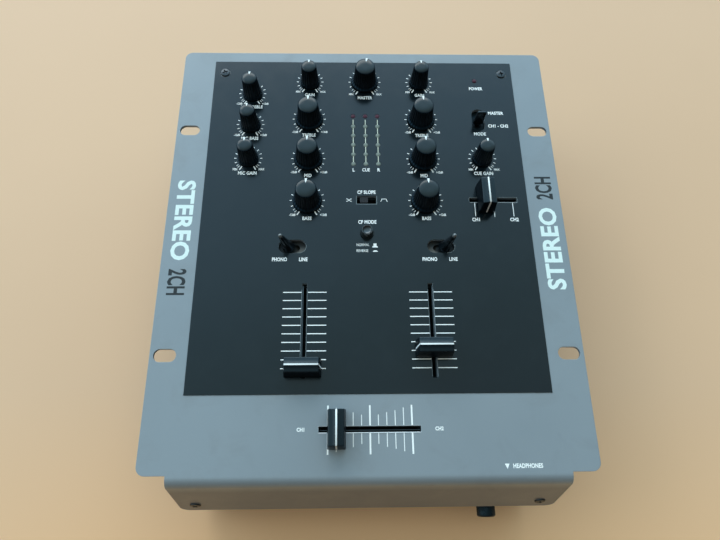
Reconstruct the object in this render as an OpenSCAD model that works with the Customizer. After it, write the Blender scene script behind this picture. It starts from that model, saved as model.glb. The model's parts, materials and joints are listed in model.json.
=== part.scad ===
// Compact two-channel mixing desk on a ten-inch rack plate.
// x runs left to right, y front to back, z up. The origin is on the table
// under the middle of the plate, so the feet stand on z = 0.

/* [Top plate] */
// width of the plate over both ears, a ten-inch rack panel
plate_w = 254; // [200:1:320]
// depth of the plate, front fold to back edge
plate_d = 285.4; // [200:0.1:360]
// sheet thickness of the plate
plate_t = 2; // [1.2:0.1:4]
// height of the plate's upper face above the table
plate_top = 90; // [60:1:120]
// corner radius of the ears
ear_r = 5; // [2:0.5:12]
// distance between the two columns of rack slots, ten-inch standard
slot_dx = 236.5; // [180:0.5:300]
// distance between the rack slots front to back
slot_dy = 154; // [80:1:220]
// length of a rack slot, left to right
slot_l = 13.2; // [8:0.1:20]
// width of a rack slot
slot_w = 7.6; // [5:0.1:10]

/* [Front fold] */
// width of the folded front, fits a rack opening
body_w = 222; // [180:1:240]
// angle of the front fold
fold_deg = 72.5; // [45:0.5:90]
// outer radius of the fold
fold_r = 6; // [3:0.5:10]
// length of the flat front below the fold
front_l = 39.5; // [15:0.5:60]

/* [Control surface] */
// width of the dark printed overlay
panel_w = 210.4; // [150:0.1:240]
// back edge of the overlay
panel_back = 134.7; // [80:0.1:140]
// front edge of the overlay
panel_front = -99.9; // [-140:0.1:0]
// thickness of the overlay
panel_t = 0.3; // [0.1:0.05:1]
// distance of the two channel knob columns from the middle of the layout
chan_x = 38.3; // [30:0.1:60]
// distance of the microphone and cue knob columns from the middle of the layout
side_x = 78; // [60:0.1:95]
// x of the middle of the knob and lamp layout on the plate
layout_x = 0.3; // [-3:0.1:3]
// y of the lowest tone knob in a channel
tone_y = 23.7; // [0:0.1:60]
// pitch of the tone knobs front to back
tone_dy = 31.23; // [20:0.01:45]
// skirt radius of the large knobs
big_r = 9.5; // [6:0.1:12]
// skirt radius of the small knobs
small_r = 6.8; // [4:0.1:9]
// height of the knobs above the plate
knob_h = 17.5; // [8:0.5:25]

/* [Faders] */
// travel of the channel faders
fader_travel = 46.4; // [20:0.1:60]
// y of the middle of a channel fader's travel
fader_y = -62; // [-100:0.1:0]
// y of the crossfader
cross_y = -119.2; // [-135:0.1:-80]
// travel of the crossfader
cross_travel = 47.2; // [20:0.1:60]
// travel of the small cue fader
cue_travel = 24.9; // [10:0.1:40]
// y of the cue fader
cue_y = 24.6; // [0:0.1:60]
// height of a fader cap's ridge above the plate
cap_h = 13.5; // [6:0.5:20]

/* [Tray and feet] */
// sheet thickness of the tray and rear panel
tray_t = 1.4; // [0.8:0.1:3]
// underside of the tray above the table
tray_z = 10; // [4:0.5:20]
// radius of a rubber foot
foot_r = 9; // [5:0.5:15]

/* [Hidden] */
$fn = 48;
over = 1;        // overrun of a cutter past the face it opens
fit_gap = 0.05;  // gap between sheet parts that meet
sides = [-1, 1]; // left and right, or front and back

// plate and its front fold
plate_under = plate_top - plate_t;
front_y = -plate_d/2;
bend_y = front_y - 0.8;
bend_z = plate_top - fold_r;
bend_end_y = bend_y - fold_r*sin(fold_deg);
bend_end_z = plate_top - fold_r*(1 - cos(fold_deg));
slope_k = cos(fold_deg)/sin(fold_deg);
front_low_z = bend_end_z - front_l*sin(fold_deg);
// outer and inner faces of the sloped front: y at height z
function outer_y(z) = bend_end_y - (bend_end_z - z)*slope_k;
function inner_y(z) = outer_y(z) + plate_t/sin(fold_deg);

// tray: outer faces of its walls, and the heights of the front wall and its lip
wall_top_z = 46.5;
lip_top_z = 76;
tray_front = inner_y(wall_top_z) + fit_gap;
tray_back = 137.8;
tray_side_x = 110;
lip_top_y = inner_y(lip_top_z) + fit_gap;
walls_top_z = plate_under - fit_gap;

// boards
board_z = 73; // upper face of the control board
board_t = 1.6;
board_under = board_z - board_t;
io_board_z = 20;
standoff_xy = [for (y = [95, -20, -92], side = sides) [side*98, y]];

// screws and feet
screw_hole_r = 1.65;
shank_r = 1.5;
plate_screw_y = 124.9;
plate_screw_xs = [-97.9, 97.9];
plate_screw_xy = [for (x = plate_screw_xs) [x, plate_screw_y]];
flange_screw_x = 101;
flange_screw_z = plate_top - 32;
rear_screw_xs = [-90, 0, 90];
rear_screw_z = tray_z + 8;
foot_x = 92;
foot_y = 126.5;
foot_xy = [for (x = sides, y = sides) [x*foot_x, y*foot_y]];
foot_seat_z = 5; // screw head seat inside a foot

// columns of the control layout
ch1_x = layout_x - chan_x;
ch2_x = layout_x + chan_x;
mic_x = layout_x - side_x;
cue_x = layout_x + side_x;
gain_y = tone_y + 3*tone_dy;

// faders: the cap rests are positions along each fader's travel
fader_x = chan_x;
fader_l = 72;
fader_w = 11;
ch1_fader_rest = fader_y - fader_travel/2;
ch2_fader_rest = ch1_fader_rest + 11.1;
cross_rest = -18.6;
cue_mid = 82.8;
cue_rest = 77.3;

// switches and button
toggle_x = 46.7;
toggle_y = -8.5;
toggle_tilt = 11.3;
mode_y = 86;
mode_tilt = 5;
pivot_z = plate_top - 12;
pin_l = 12;
slope_x = layout_x;
slope_y = 24.1;
slope_rest = -1.35;
button_x = 0.2;
button_y = 0.4;

// lamps: three columns of five green and one red, and a single power lamp
meter_dx = 8.3;
meter_y = 50.95;
meter_dy = 7.38;
red_y = meter_y + 5*meter_dy + 0.85;
meter_xs = [for (i = [-1:1]) layout_x + i*meter_dx];
green_xy = [for (x = meter_xs, j = [0:4]) [x, meter_y + j*meter_dy]];
red_xy = [for (x = meter_xs) [x, red_y]];
power_xy = [[cue_x, 118.9]];

// front and rear sockets
jack_x = 75;
jack_z = 29;
plug_bore_r = 3.25;
rca_xs = [-72, -36, 0]; // middles of the phono blocks
rca_dx = 7;             // socket to the middle of its block
rca_zs = [29, 43];
mic_jack_x = 45;
mic_jack_z = 33;
inlet_x = 72;
inlet_z = 28;
post_x = -97;
post_z = 36;

// colours that several pieces share
board_green = [0.1, 0.32, 0.16];
fader_grey = [0.6, 0.6, 0.62];
switch_grey = [0.2, 0.19, 0.18];
metal_grey = [0.5, 0.5, 0.52];
dark_metal = [0.1, 0.1, 0.1];
socket_black = [0.08, 0.08, 0.08];

// [name, x, y, skirt radius, pointer angle]
knobs = [
  ["ch1_gain", ch1_x, gain_y, small_r, 0],
  ["ch1_treble", ch1_x, tone_y + 2*tone_dy, big_r, 0],
  ["ch1_mid", ch1_x, tone_y + tone_dy, big_r, 0],
  ["ch1_bass", ch1_x, tone_y, big_r, 0],
  ["ch2_gain", ch2_x, gain_y, small_r, 0],
  ["ch2_treble", ch2_x, tone_y + 2*tone_dy, big_r, 0],
  ["ch2_mid", ch2_x, tone_y + tone_dy, big_r, 0],
  ["ch2_bass", ch2_x, tone_y, big_r, 0],
  ["master", layout_x, gain_y, big_r, -10],
  ["mic_treble", mic_x, 107.1, small_r, 0],
  ["mic_bass", mic_x, 81.6, small_r, 4],
  ["mic_gain", mic_x, 55.1, small_r, 4],
  ["cue_gain", cue_x, 55.2, small_r, -5]
];
knob_xy = [for (row = knobs) [row[1], row[2]]];

// ---- Shapes and frames ----

function arc(cx, cy, radius, from, to, steps) =
  [for (i = [0:steps]) let (angle = from + (to - from)*i/steps)
    [cx + radius*cos(angle), cy + radius*sin(angle)]];

// rectangle with rounded corners, as one outline
function rounded_rect(width, depth, radius, steps = 8) =
  let (cx = width/2 - radius, cy = depth/2 - radius) concat(
    arc(cx, cy, radius, 0, 90, steps),
    arc(-cx, cy, radius, 90, 180, steps),
    arc(-cx, -cy, radius, 180, 270, steps),
    arc(cx, -cy, radius, 270, 360, steps));

// upright cylinder, cone and box between two heights
module rod(radius, bottom, top) {
  translate([0, 0, bottom]) cylinder(r = radius, h = top - bottom);
}
module cone(low_r, high_r, bottom, top) {
  translate([0, 0, bottom]) cylinder(r1 = low_r, r2 = high_r, h = top - bottom);
}
module box(width, depth, bottom, top) {
  translate([-width/2, -depth/2, bottom]) cube([width, depth, top - bottom]);
}

// slot with round ends along x
module slot(length, width, bottom, top) {
  for (side = sides) translate([side*(length - width)/2, 0, 0]) rod(width/2, bottom, top);
  box(length - width, width, bottom, top);
}

module at_each(points, z = 0) {
  for (point = points) translate([point[0], point[1], z]) children();
}

// extrudes a (y, z) outline along x
module along_x(start, length) {
  translate([start, 0, 0]) rotate([90, 0, 90]) linear_extrude(length) children();
}

// local z points to the back and local y down
module facing_back(x, y, z) { translate([x, y, z]) rotate([-90, 0, 0]) children(); }

// local z points to the front and local y up
module facing_front(x, y, z) { translate([x, y, z]) rotate([90, 0, 0]) children(); }

// frame on the outer face of the sloped front at height z:
// local y runs up the slope and local z outward
module on_front(x, z) { translate([x, outer_y(z), z]) rotate([fold_deg, 0, 0]) children(); }

module at_flange_screws() {
  for (side = sides) on_front(side*flange_screw_x, flange_screw_z) children();
}

// the four sockets of a phono block
module at_rca_sockets(x, y) {
  for (side = sides, z = rca_zs) facing_back(x + side*rca_dx, y, z) children();
}

// ---- Plate and overlay ----

// openings that the plate and the overlay share, widened all round by grow
module control_openings(bottom, top, grow) {
  at_each(knob_xy) rod(3.9 + grow, bottom, top);
  at_each(concat(green_xy, red_xy, power_xy)) rod(1.6 + grow, bottom, top, $fn = 24);
  for (side = sides) {
    translate([side*toggle_x, toggle_y, 0]) lever_slot(bottom, top, grow);
    translate([side*fader_x, fader_y, 0]) box(3 + 2*grow, 57.6 + 2*grow, bottom, top);
  }
  translate([cue_x, mode_y, 0]) rotate([0, 0, 90]) lever_slot(bottom, top, grow);
  translate([slope_x, slope_y, 0]) box(12.6 + 2*grow, 5.5 + 2*grow, bottom, top);
  translate([button_x, button_y, 0]) rod(4.25 + grow, bottom, top);
  translate([cue_mid, cue_y - 0.4, 0]) box(31.2 + 2*grow, 3.1 + 2*grow, bottom, top);
}
module lever_slot(bottom, top, grow) { slot(17.3 + 2*grow, 8.8 + 2*grow, bottom, top); }

// rolled bend and flat slope as one profile, lapping into the plate
module front_fold() {
  lap_y = front_y + 6;
  low_y = outer_y(front_low_z);
  along_x(-body_w/2, body_w) polygon(concat(
    [[lap_y, plate_top]],
    arc(bend_y, bend_z, fold_r, 90, 90 + fold_deg, 10),
    [[low_y, front_low_z],
     [low_y + plate_t*sin(fold_deg), front_low_z - plate_t*cos(fold_deg)]],
    arc(bend_y, bend_z, fold_r - plate_t, 90 + fold_deg, 90, 10),
    [[lap_y, plate_under]]));
}

// cutter that rounds a lower corner of the sloped front
module front_corner_cut(side) {
  radius = 5.5;
  size = 8;
  on_front(side*(body_w/2 - radius), front_low_z + radius*sin(fold_deg)) difference() {
    translate([side > 0 ? 0 : -size, -size, -5]) cube([size, size, 10]);
    rod(radius, -6, 6);
  }
}

module flange_holes() { at_flange_screws() rod(screw_hole_r, -8, 4); }

module top_plate() {
  bottom = plate_under - over;
  top = plate_top + over;
  color([0.55, 0.61, 0.65]) difference() {
    union() {
      translate([0, 0, plate_under]) linear_extrude(plate_t)
        polygon(rounded_rect(plate_w, plate_d, ear_r));
      front_fold();
    }
    at_each([for (x = sides, y = sides) [x*slot_dx/2, y*slot_dy/2]])
      slot(slot_l, slot_w, bottom, top);
    control_openings(bottom, top, 0);
    translate([0, cross_y, 0]) box(57.4, 3.2, bottom, top);
    at_each(plate_screw_xy) rod(screw_hole_r, bottom, top);
    flange_holes();
    for (side = sides) front_corner_cut(side);
  }
}

module control_panel() {
  bottom = plate_top - over;
  top = plate_top + over;
  color([0.16, 0.22, 0.26]) difference() {
    translate([-panel_w/2, panel_front, plate_top])
      cube([panel_w, panel_back - panel_front, panel_t]);
    control_openings(bottom, top, 0.05);
    at_each(plate_screw_xy) rod(3.5, bottom, top);
  }
}

// ---- Tray and rear panel ----

// (y, z) outline of the floor, rear flange, front wall and front lip
module tray_profile() {
  wall_in = tray_front + tray_t;
  flange_in = tray_back - tray_t;
  bend_in_z = 46.2;
  flange_top = tray_z + 11;
  polygon([[tray_back, tray_z], [tray_front, tray_z], [tray_front, wall_top_z],
    [lip_top_y, lip_top_z], [lip_top_y + tray_t, lip_top_z - 0.4],
    [wall_in + 0.1, bend_in_z], [wall_in, bend_in_z],
    [wall_in, tray_z + tray_t], [flange_in, tray_z + tray_t],
    [flange_in, flange_top], [tray_back, flange_top]]);
}

// (y, z) outline of a side wall
module tray_side_profile() {
  polygon([[tray_front, tray_z], [tray_back, tray_z], [tray_back, walls_top_z],
    [-140, walls_top_z], [lip_top_y, lip_top_z], [tray_front, wall_top_z]]);
}

module bottom_tray() {
  side_mid_x = tray_side_x - tray_t/2;
  color([0.12, 0.12, 0.13]) difference() {
    union() {
      along_x(-tray_side_x, 2*tray_side_x) tray_profile();
      for (side = sides) along_x(side*side_mid_x - tray_t/2, tray_t) tray_side_profile();
    }
    at_each(foot_xy) rod(screw_hole_r, tray_z - over, tray_z + tray_t + over);
    facing_back(jack_x, tray_front, jack_z) rod(4.8, -over, tray_t + over);
    flange_holes();
    for (x = rear_screw_xs) facing_back(x, tray_back, rear_screw_z) rod(screw_hole_r, -3, 3);
    // louvres in both side walls
    for (side = sides, i = [0:7])
      translate([side*side_mid_x, 30 + i*9, 40]) box(4, 3, 0, 26);
  }
}

// round openings in the rear panel besides the phono sockets: [x, z, radius]
rear_openings = concat(
  [[mic_jack_x, mic_jack_z, 5.2], [inlet_x, inlet_z, 4.2], [post_x, post_z, 2.2]],
  [for (x = rear_screw_xs) [x, rear_screw_z, screw_hole_r]]);

module rear_panel() {
  tab_front = 118;
  tab_w = 16;
  color([0.13, 0.13, 0.14]) difference() {
    union() {
      translate([-tray_side_x, tray_back, tray_z])
        cube([2*tray_side_x, tray_t, walls_top_z - tray_z]);
      // folded tabs that the plate screws hold
      for (x = plate_screw_xs) translate([x - tab_w/2, tab_front, walls_top_z - tray_t])
        cube([tab_w, tray_back + tray_t - tab_front, tray_t]);
    }
    for (x = rca_xs) at_rca_sockets(x, tray_back) rod(4.5, -over, tray_t + over);
    for (hole = rear_openings)
      facing_back(hole[0], tray_back, hole[1]) rod(hole[2], -over, tray_t + over);
    at_each(plate_screw_xy) rod(screw_hole_r, plate_under - 5, plate_under + 3);
  }
}

// ---- Feet and screws ----

// tapered rubber foot, recessed from below; side_x and side_y pick the corner
module foot(side_x, side_y) {
  color([0.06, 0.06, 0.06]) translate([side_x*foot_x, side_y*foot_y, 0]) difference() {
    cone(foot_r - 1, foot_r, 0, tray_z);
    rod(4.2, -over, 2.8);
    rod(3.5, 2, foot_seat_z);
    rod(screw_hole_r, 4, 12);
  }
}
module foot_front_left() { foot(-1, -1); }
module foot_front_right() { foot(1, -1); }
module foot_rear_left() { foot(-1, 1); }
module foot_rear_right() { foot(1, 1); }

// pan-head screw with a cross recess: the head sits on z = 0, shank below
module screw(head_r, head_h, shank_r, shank_l) {
  difference() {
    union() {
      cone(head_r, head_r*0.78, 0, head_h, $fn = 32);
      rod(shank_r, -shank_l, head_h/2, $fn = 24);
    }
    for (angle = [0, 90]) rotate([0, 0, angle])
      box(head_r*1.1, 0.7, head_h*0.45, head_h + over);
  }
}

module foot_screws() {
  color([0.35, 0.35, 0.36]) at_each(foot_xy, foot_seat_z) rotate([180, 0, 0])
    screw(head_r = 3, head_h = 1.9, shank_r = shank_r, shank_l = 10.5);
}
module plate_screws() {
  color([0.13, 0.15, 0.16]) at_each(plate_screw_xy, plate_top) rotate([0, 0, 20])
    screw(head_r = 3.2, head_h = 1.3, shank_r = shank_r, shank_l = 7.5);
}
module flange_screws() {
  color(dark_metal) at_flange_screws() rotate([0, 0, 30])
    screw(head_r = 3.2, head_h = 1.2, shank_r = shank_r, shank_l = 7);
}
module rear_screws() {
  color(dark_metal) for (x = rear_screw_xs) facing_back(x, tray_back + tray_t, rear_screw_z)
    screw(head_r = 2.9, head_h = 1.7, shank_r = shank_r, shank_l = 6);
}

// ---- Control board ----

module control_board() {
  width = 208;
  depth = 268;
  color(board_green) difference() {
    translate([-width/2, -136, board_under]) cube([width, depth, board_t]);
    at_each(standoff_xy, board_z) rod(1.6, -5, 3, $fn = 24);
  }
}
module board_standoffs() {
  color([0.75, 0.62, 0.3]) at_each(standoff_xy, board_z) difference() {
    rod(3, 0, plate_under - board_z, $fn = 6);
    rod(1.35, -over, 8, $fn = 24);
  }
}
module board_screws() {
  color(metal_grey) at_each(standoff_xy, board_under) rotate([180, 0, 0])
    screw(head_r = 2.6, head_h = 1.6, shank_r = 1.3, shank_l = 7);
}

// fader body along y: steel trough with a slot for the moving blade
module fader_body(length, width, travel) {
  wall = 1.5;
  inner_l = travel + 8;
  color(fader_grey) difference() {
    box(width, length, board_z, plate_under - 2);
    box(width - 2*wall, inner_l, board_z + wall, plate_under - 4);
    box(3, inner_l, plate_under - 5, plate_under);
  }
}
module channel_fader_left() {
  translate([-fader_x, fader_y, 0]) fader_body(fader_l, fader_w, fader_travel);
}
module channel_fader_right() {
  translate([fader_x, fader_y, 0]) fader_body(fader_l, fader_w, fader_travel);
}
module crossfader_body() {
  translate([0, cross_y, 0]) rotate([0, 0, 90]) fader_body(fader_l, fader_w, cross_travel);
}
module cue_fader_body() {
  translate([cue_mid, cue_y, 0]) rotate([0, 0, 90]) fader_body(42, 9, cue_travel);
}

module rotary_pots() {
  case_w = 11.6;
  color(metal_grey) at_each(knob_xy) difference() {
    union() {
      box(case_w, case_w, board_z, board_z + 8);
      rod(4.5, board_z + 7, plate_under - 0.5);
    }
    rod(3.05, board_z + 2, board_z + 22);
  }
}

// switch body with a cavity, a slotted lid and bores for the lever's pin
module switch_body() {
  depth = 13;
  color(switch_grey) difference() {
    box(22, depth, board_z, plate_top - 3);
    box(15, 9, board_z + 1.5, plate_top - 4.6);
    slot(9.2, 4.4, plate_top - 5, plate_top);
    facing_front(0, 0, pivot_z) rod(1.65, -depth/2 - 0.5, depth/2 + 0.5, $fn = 32);
  }
}
module source_switch_left() { translate([-toggle_x, toggle_y, 0]) switch_body(); }
module source_switch_right() { translate([toggle_x, toggle_y, 0]) switch_body(); }
module mode_switch_body() {
  translate([cue_x, mode_y, 0]) rotate([0, 0, 90]) switch_body();
}

module slope_switch_body() {
  color([0.22, 0.21, 0.2]) translate([slope_x, slope_y, 0]) difference() {
    box(18, 8, board_z, plate_top - 2.6);
    box(12.4, 3.2, board_z + 2, plate_top);
  }
}
module button_switch_body() {
  color([0.2, 0.2, 0.2]) translate([button_x, button_y, 0]) difference() {
    box(11, 11, board_z, plate_top - 5);
    rod(2.6, board_z + 1.5, board_z + 21.5);
  }
}

// lamp: wide base on the board, stem through the plate and a tapered tip
module led() {
  stem_r = 1.5;
  stem_top = plate_top + 0.2;
  rod(2.1, board_z, board_z + 11, $fn = 24);
  rod(stem_r, board_z + 10, stem_top, $fn = 24);
  cone(stem_r, 0.7, stem_top, stem_top + 0.6, $fn = 24);
}
module green_leds() { color([0.72, 0.78, 0.7]) at_each(green_xy) led(); }
module red_leds() { color([0.55, 0.2, 0.24]) at_each(red_xy) led(); }
module power_led() { color([0.4, 0.05, 0.08]) at_each(power_xy) led(); }

// ---- Sockets ----

module headphone_jack() {
  body_l = 24;
  color([0.07, 0.07, 0.07]) facing_front(jack_x, tray_front, jack_z) difference() {
    union() {
      box(16, 16, -body_l - tray_t, -tray_t);
      rod(4.7, -tray_t - 1, 8.4);
    }
    rod(plug_bore_r, -20, 20);
  }
}

// bright washer between the tray wall and the nut
washer_t = 0.7;
module headphone_washer() {
  color([0.75, 0.75, 0.72]) facing_front(jack_x, tray_front, jack_z) difference() {
    rod(6.5, 0, washer_t);
    rod(4.9, -over, 2);
  }
}

// round nut with a bevelled front edge
module headphone_nut() {
  color(dark_metal) facing_front(jack_x, tray_front - washer_t, jack_z) difference() {
    union() {
      rod(5.8, 0, 7.1);
      cone(5.7, 5.2, 7, 7.6);
    }
    rod(4.75, -over, 11);
  }
}

module io_board() {
  post_y = 98; // the hole and both pillars stand in one row
  color(board_green) {
    difference() {
      translate([-90, 92, io_board_z]) cube([176, 44, board_t]);
      translate([-50, post_y, io_board_z]) rod(1.6, -over, 3, $fn = 24);
    }
    // pillars under the board, moulded to it
    at_each([[-80, post_y], [76, post_y]]) rod(3, tray_z + tray_t, io_board_z + 0.2, $fn = 32);
  }
}

// four phono sockets in a moulded block, opening to the back
module rca_block(x) {
  block_w = 26;
  block_front = 122;
  color([0.09, 0.09, 0.1]) difference() {
    union() {
      translate([x - block_w/2, block_front, io_board_z + board_t])
        cube([block_w, tray_back - block_front, 29]);
      at_rca_sockets(x, tray_back) rod(4.3, -1, 9, $fn = 40);
    }
    // ring recess around a centre pin
    at_rca_sockets(x, tray_back - 5) difference() {
      rod(3.3, 0, 20, $fn = 32);
      rod(2.2, -over, 11.5, $fn = 24);
    }
  }
}
module rca_block_left() { rca_block(rca_xs[0]); }
module rca_block_middle() { rca_block(rca_xs[1]); }
module rca_block_right() { rca_block(rca_xs[2]); }

module mic_jack() {
  body_l = 26;
  color(socket_black) facing_back(mic_jack_x, tray_back, mic_jack_z) difference() {
    union() {
      translate([-8, -7, -body_l]) cube([16, 18, body_l]);
      rod(5, 0, 8.5);
    }
    rod(plug_bore_r, -22, 18);
  }
}

// stud with a round head behind the panel and a hexagon inside
module ground_post() {
  color([0.7, 0.7, 0.72]) facing_back(post_x, tray_back, post_z) {
    rod(2, -8, 4);
    rod(4.2, tray_t + 1, tray_t + 7, $fn = 20);
    rod(4, -2.2, 0, $fn = 6);
  }
}

module power_inlet() {
  body_l = 14;
  color(socket_black) facing_back(inlet_x, tray_back, inlet_z) difference() {
    union() {
      translate([-5.5, -5, -body_l]) cube([11, 11.3, body_l]);
      rod(4, 0, 2.4);
    }
    // ring recess around a centre pin
    difference() {
      rod(2.8, -9, 11, $fn = 32);
      rod(1, -10, 1, $fn = 24);
    }
  }
}

// ---- Knobs, caps and levers ----

// knob with a stem that runs in its potentiometer; pointer at the back
module knob(name) {
  row = [for (entry = knobs) if (entry[0] == name) entry][0];
  skirt_r = row[3];
  large = skirt_r > 8;
  grip_low_r = large ? 7.75 : 5.9;
  grip_high_r = large ? 6.75 : 5.1;
  crown_r = grip_high_r - 0.5;
  skirt_top = 2.4;
  grip_low = 4.7;
  grip_high = knob_h - 1.4;
  crown_low = knob_h - 0.9;
  color([0.2, 0.24, 0.27]) translate([row[1], row[2], plate_top]) rotate([0, 0, row[4]]) {
    rod(3, board_z + 3 - plate_top, 2);
    rod(skirt_r, 1, skirt_top);
    cone(skirt_r, grip_low_r, skirt_top, grip_low);
    cone(grip_low_r, grip_high_r, grip_low, grip_high);
    cone(grip_high_r, crown_r, grip_high, crown_low);
    cone(crown_r, 2.4, crown_low, crown_low + 0.8);
    // pointer
    translate([-0.5, grip_high_r - 3.1, knob_h - 1.6]) cube([1, 3.3, 1.1]);
  }
}
module ch1_gain_knob() { knob("ch1_gain"); }
module ch1_treble_knob() { knob("ch1_treble"); }
module ch1_mid_knob() { knob("ch1_mid"); }
module ch1_bass_knob() { knob("ch1_bass"); }
module ch2_gain_knob() { knob("ch2_gain"); }
module ch2_treble_knob() { knob("ch2_treble"); }
module ch2_mid_knob() { knob("ch2_mid"); }
module ch2_bass_knob() { knob("ch2_bass"); }
module master_knob() { knob("master"); }
module mic_treble_knob() { knob("mic_treble"); }
module mic_bass_knob() { knob("mic_bass"); }
module mic_gain_knob() { knob("mic_gain"); }
module cue_gain_knob() { knob("cue_gain"); }

// wedge cap with its ridge along x and a blade down into the fader
module fader_cap(length = 19.4, blade_w = 1.8, blade_l = 5, height = cap_h) {
  foot_z = 1.2;
  half_l = length/2;
  color([0.17, 0.21, 0.24]) {
    // drafted on all four sides, with a low roof that rises to the ridge
    translate([0, 0, plate_top]) intersection() {
      along_x(-length, 2*length)
        polygon([[-5.2, foot_z], [5.2, foot_z], [4.15, height - 1],
          [0.6, height], [-0.6, height], [-4.15, height - 1]]);
      facing_front(0, 8, 0) linear_extrude(16)
        polygon([[-half_l - 1.1, foot_z], [half_l + 1.1, foot_z],
          [half_l, height], [-half_l, height]]);
    }
    box(blade_w, blade_l, board_z + 3, plate_top + 2);
  }
}
module ch1_fader_cap() { translate([-fader_x, ch1_fader_rest, 0]) fader_cap(); }
module ch2_fader_cap() { translate([fader_x, ch2_fader_rest, 0]) fader_cap(); }
module crossfader_cap() { translate([cross_rest, cross_y, 0]) rotate([0, 0, 90]) fader_cap(); }
module cue_fader_cap() {
  translate([cue_rest, cue_y, 0]) rotate([0, 0, 90])
    fader_cap(length = 18, blade_w = 1.6, blade_l = 4, height = cap_h + 0.5);
}

// pivot pin along y with the lever's stem standing on it
module lever_stem() {
  facing_front(0, 0, 0) rod(1.6, -pin_l/2, pin_l/2, $fn = 32);
  rod(1.8, 0, 11.5, $fn = 32);
}

// round bat lever, leaning outward by tilt on its side of the desk
module source_lever(side) {
  color([0.09, 0.12, 0.14]) translate([side*toggle_x, toggle_y, pivot_z])
    rotate([0, side*toggle_tilt, 0]) {
      lever_stem();
      cone(3.9, 2.6, 10.4, 18.4);
      cone(2.6, 1.3, 18.4, 29.6);
      cone(1.3, 0.6, 29.6, 30.4);
    }
}
module source_lever_left() { source_lever(-1); }
module source_lever_right() { source_lever(1); }

// flat paddle lever, broad side to the front
module mode_lever() {
  paddle_t = 3;
  color([0.09, 0.11, 0.13]) translate([cue_x, mode_y, pivot_z]) rotate([mode_tilt, 0, 0]) {
    rotate([0, 0, 90]) lever_stem();
    facing_front(0, paddle_t/2, 0) linear_extrude(paddle_t)
      polygon([[-3.6, 10.6], [3.6, 10.6], [3.3, 16], [3.1, 22.8],
        [2.7, 24.4], [-2.7, 24.4], [-3.1, 22.8], [-3.3, 16]]);
  }
}

module slope_slider() {
  color([0.05, 0.05, 0.05]) translate([slope_rest, slope_y, 0]) {
    box(5.2, 4.8, plate_top - 2.5, plate_top + 0.2);
    box(4, 2.8, board_z + 4, plate_top - 2.4);
  }
}

module mode_button() {
  cap_r = 4;
  taper_z = plate_top + 1.6;
  color([0.1, 0.12, 0.13]) translate([button_x, button_y, 0]) {
    difference() {
      union() {
        rod(cap_r, plate_top - 2, taper_z);
        cone(cap_r, 3.3, taper_z, plate_top + 6);
      }
      // dished top
      cone(1.6, 2.9, plate_top + 5.4, plate_top + 6.01);
    }
    rod(2.5, board_z + 5, plate_top - 1);
  }
}

top_plate();
control_panel();
bottom_tray();
rear_panel();
foot_front_left();
foot_front_right();
foot_rear_left();
foot_rear_right();
foot_screws();
plate_screws();
flange_screws();
rear_screws();
control_board();
board_standoffs();
board_screws();
channel_fader_left();
channel_fader_right();
crossfader_body();
cue_fader_body();
rotary_pots();
source_switch_left();
source_switch_right();
mode_switch_body();
slope_switch_body();
button_switch_body();
green_leds();
red_leds();
power_led();
headphone_jack();
headphone_washer();
headphone_nut();
io_board();
rca_block_left();
rca_block_middle();
rca_block_right();
mic_jack();
ground_post();
power_inlet();
ch1_gain_knob();
ch1_treble_knob();
ch1_mid_knob();
ch1_bass_knob();
ch2_gain_knob();
ch2_treble_knob();
ch2_mid_knob();
ch2_bass_knob();
master_knob();
mic_treble_knob();
mic_bass_knob();
mic_gain_knob();
cue_gain_knob();
ch1_fader_cap();
ch2_fader_cap();
crossfader_cap();
cue_fader_cap();
source_lever_left();
source_lever_right();
mode_lever();
slope_slider();
mode_button();
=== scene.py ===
"""A two-channel DJ mixer lying flat: x runs right, y to the rear, z up.

The enamelled top plate folds down at the front and carries a dark printed overlay with
the knobs, faders, switches and lamps. Sizes are in millimetres unless a comment says
metres; shader, light, floor and backdrop sizes are in metres.
"""
import json
import random
from math import atan2, copysign, cos, degrees, hypot, pi, radians, sin, tan

import bpy
from mathutils import Matrix, Vector


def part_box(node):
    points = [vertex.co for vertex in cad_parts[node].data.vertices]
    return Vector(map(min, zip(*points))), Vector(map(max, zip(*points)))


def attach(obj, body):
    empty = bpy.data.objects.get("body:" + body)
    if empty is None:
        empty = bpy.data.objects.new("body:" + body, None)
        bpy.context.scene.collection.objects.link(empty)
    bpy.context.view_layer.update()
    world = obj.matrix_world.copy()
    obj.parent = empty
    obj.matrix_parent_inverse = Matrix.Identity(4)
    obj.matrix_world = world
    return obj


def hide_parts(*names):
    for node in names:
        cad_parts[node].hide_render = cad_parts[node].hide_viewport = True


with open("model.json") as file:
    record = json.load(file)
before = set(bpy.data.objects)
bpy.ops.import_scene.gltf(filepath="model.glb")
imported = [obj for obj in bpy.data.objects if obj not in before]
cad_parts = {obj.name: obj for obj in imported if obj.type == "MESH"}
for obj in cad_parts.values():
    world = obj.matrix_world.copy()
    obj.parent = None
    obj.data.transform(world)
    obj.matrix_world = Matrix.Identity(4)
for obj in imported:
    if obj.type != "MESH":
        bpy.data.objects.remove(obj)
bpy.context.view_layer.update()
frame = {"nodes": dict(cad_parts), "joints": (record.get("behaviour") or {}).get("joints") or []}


random.seed(7)
MM = 0.001
scene = bpy.context.scene


def box_mm(node):
    low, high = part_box(node)
    return [c / MM for c in low], [c / MM for c in high]


def centre(node):
    return [(a + b) / 2 for a, b in zip(*box_mm(node))]


PLATE_Z = box_mm("top_plate")[1][2]        # upper face of the plate
PANEL_Z = box_mm("control_panel")[1][2]    # upper face of the overlay

# ---------------------------------------------------------------- shader helpers


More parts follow.
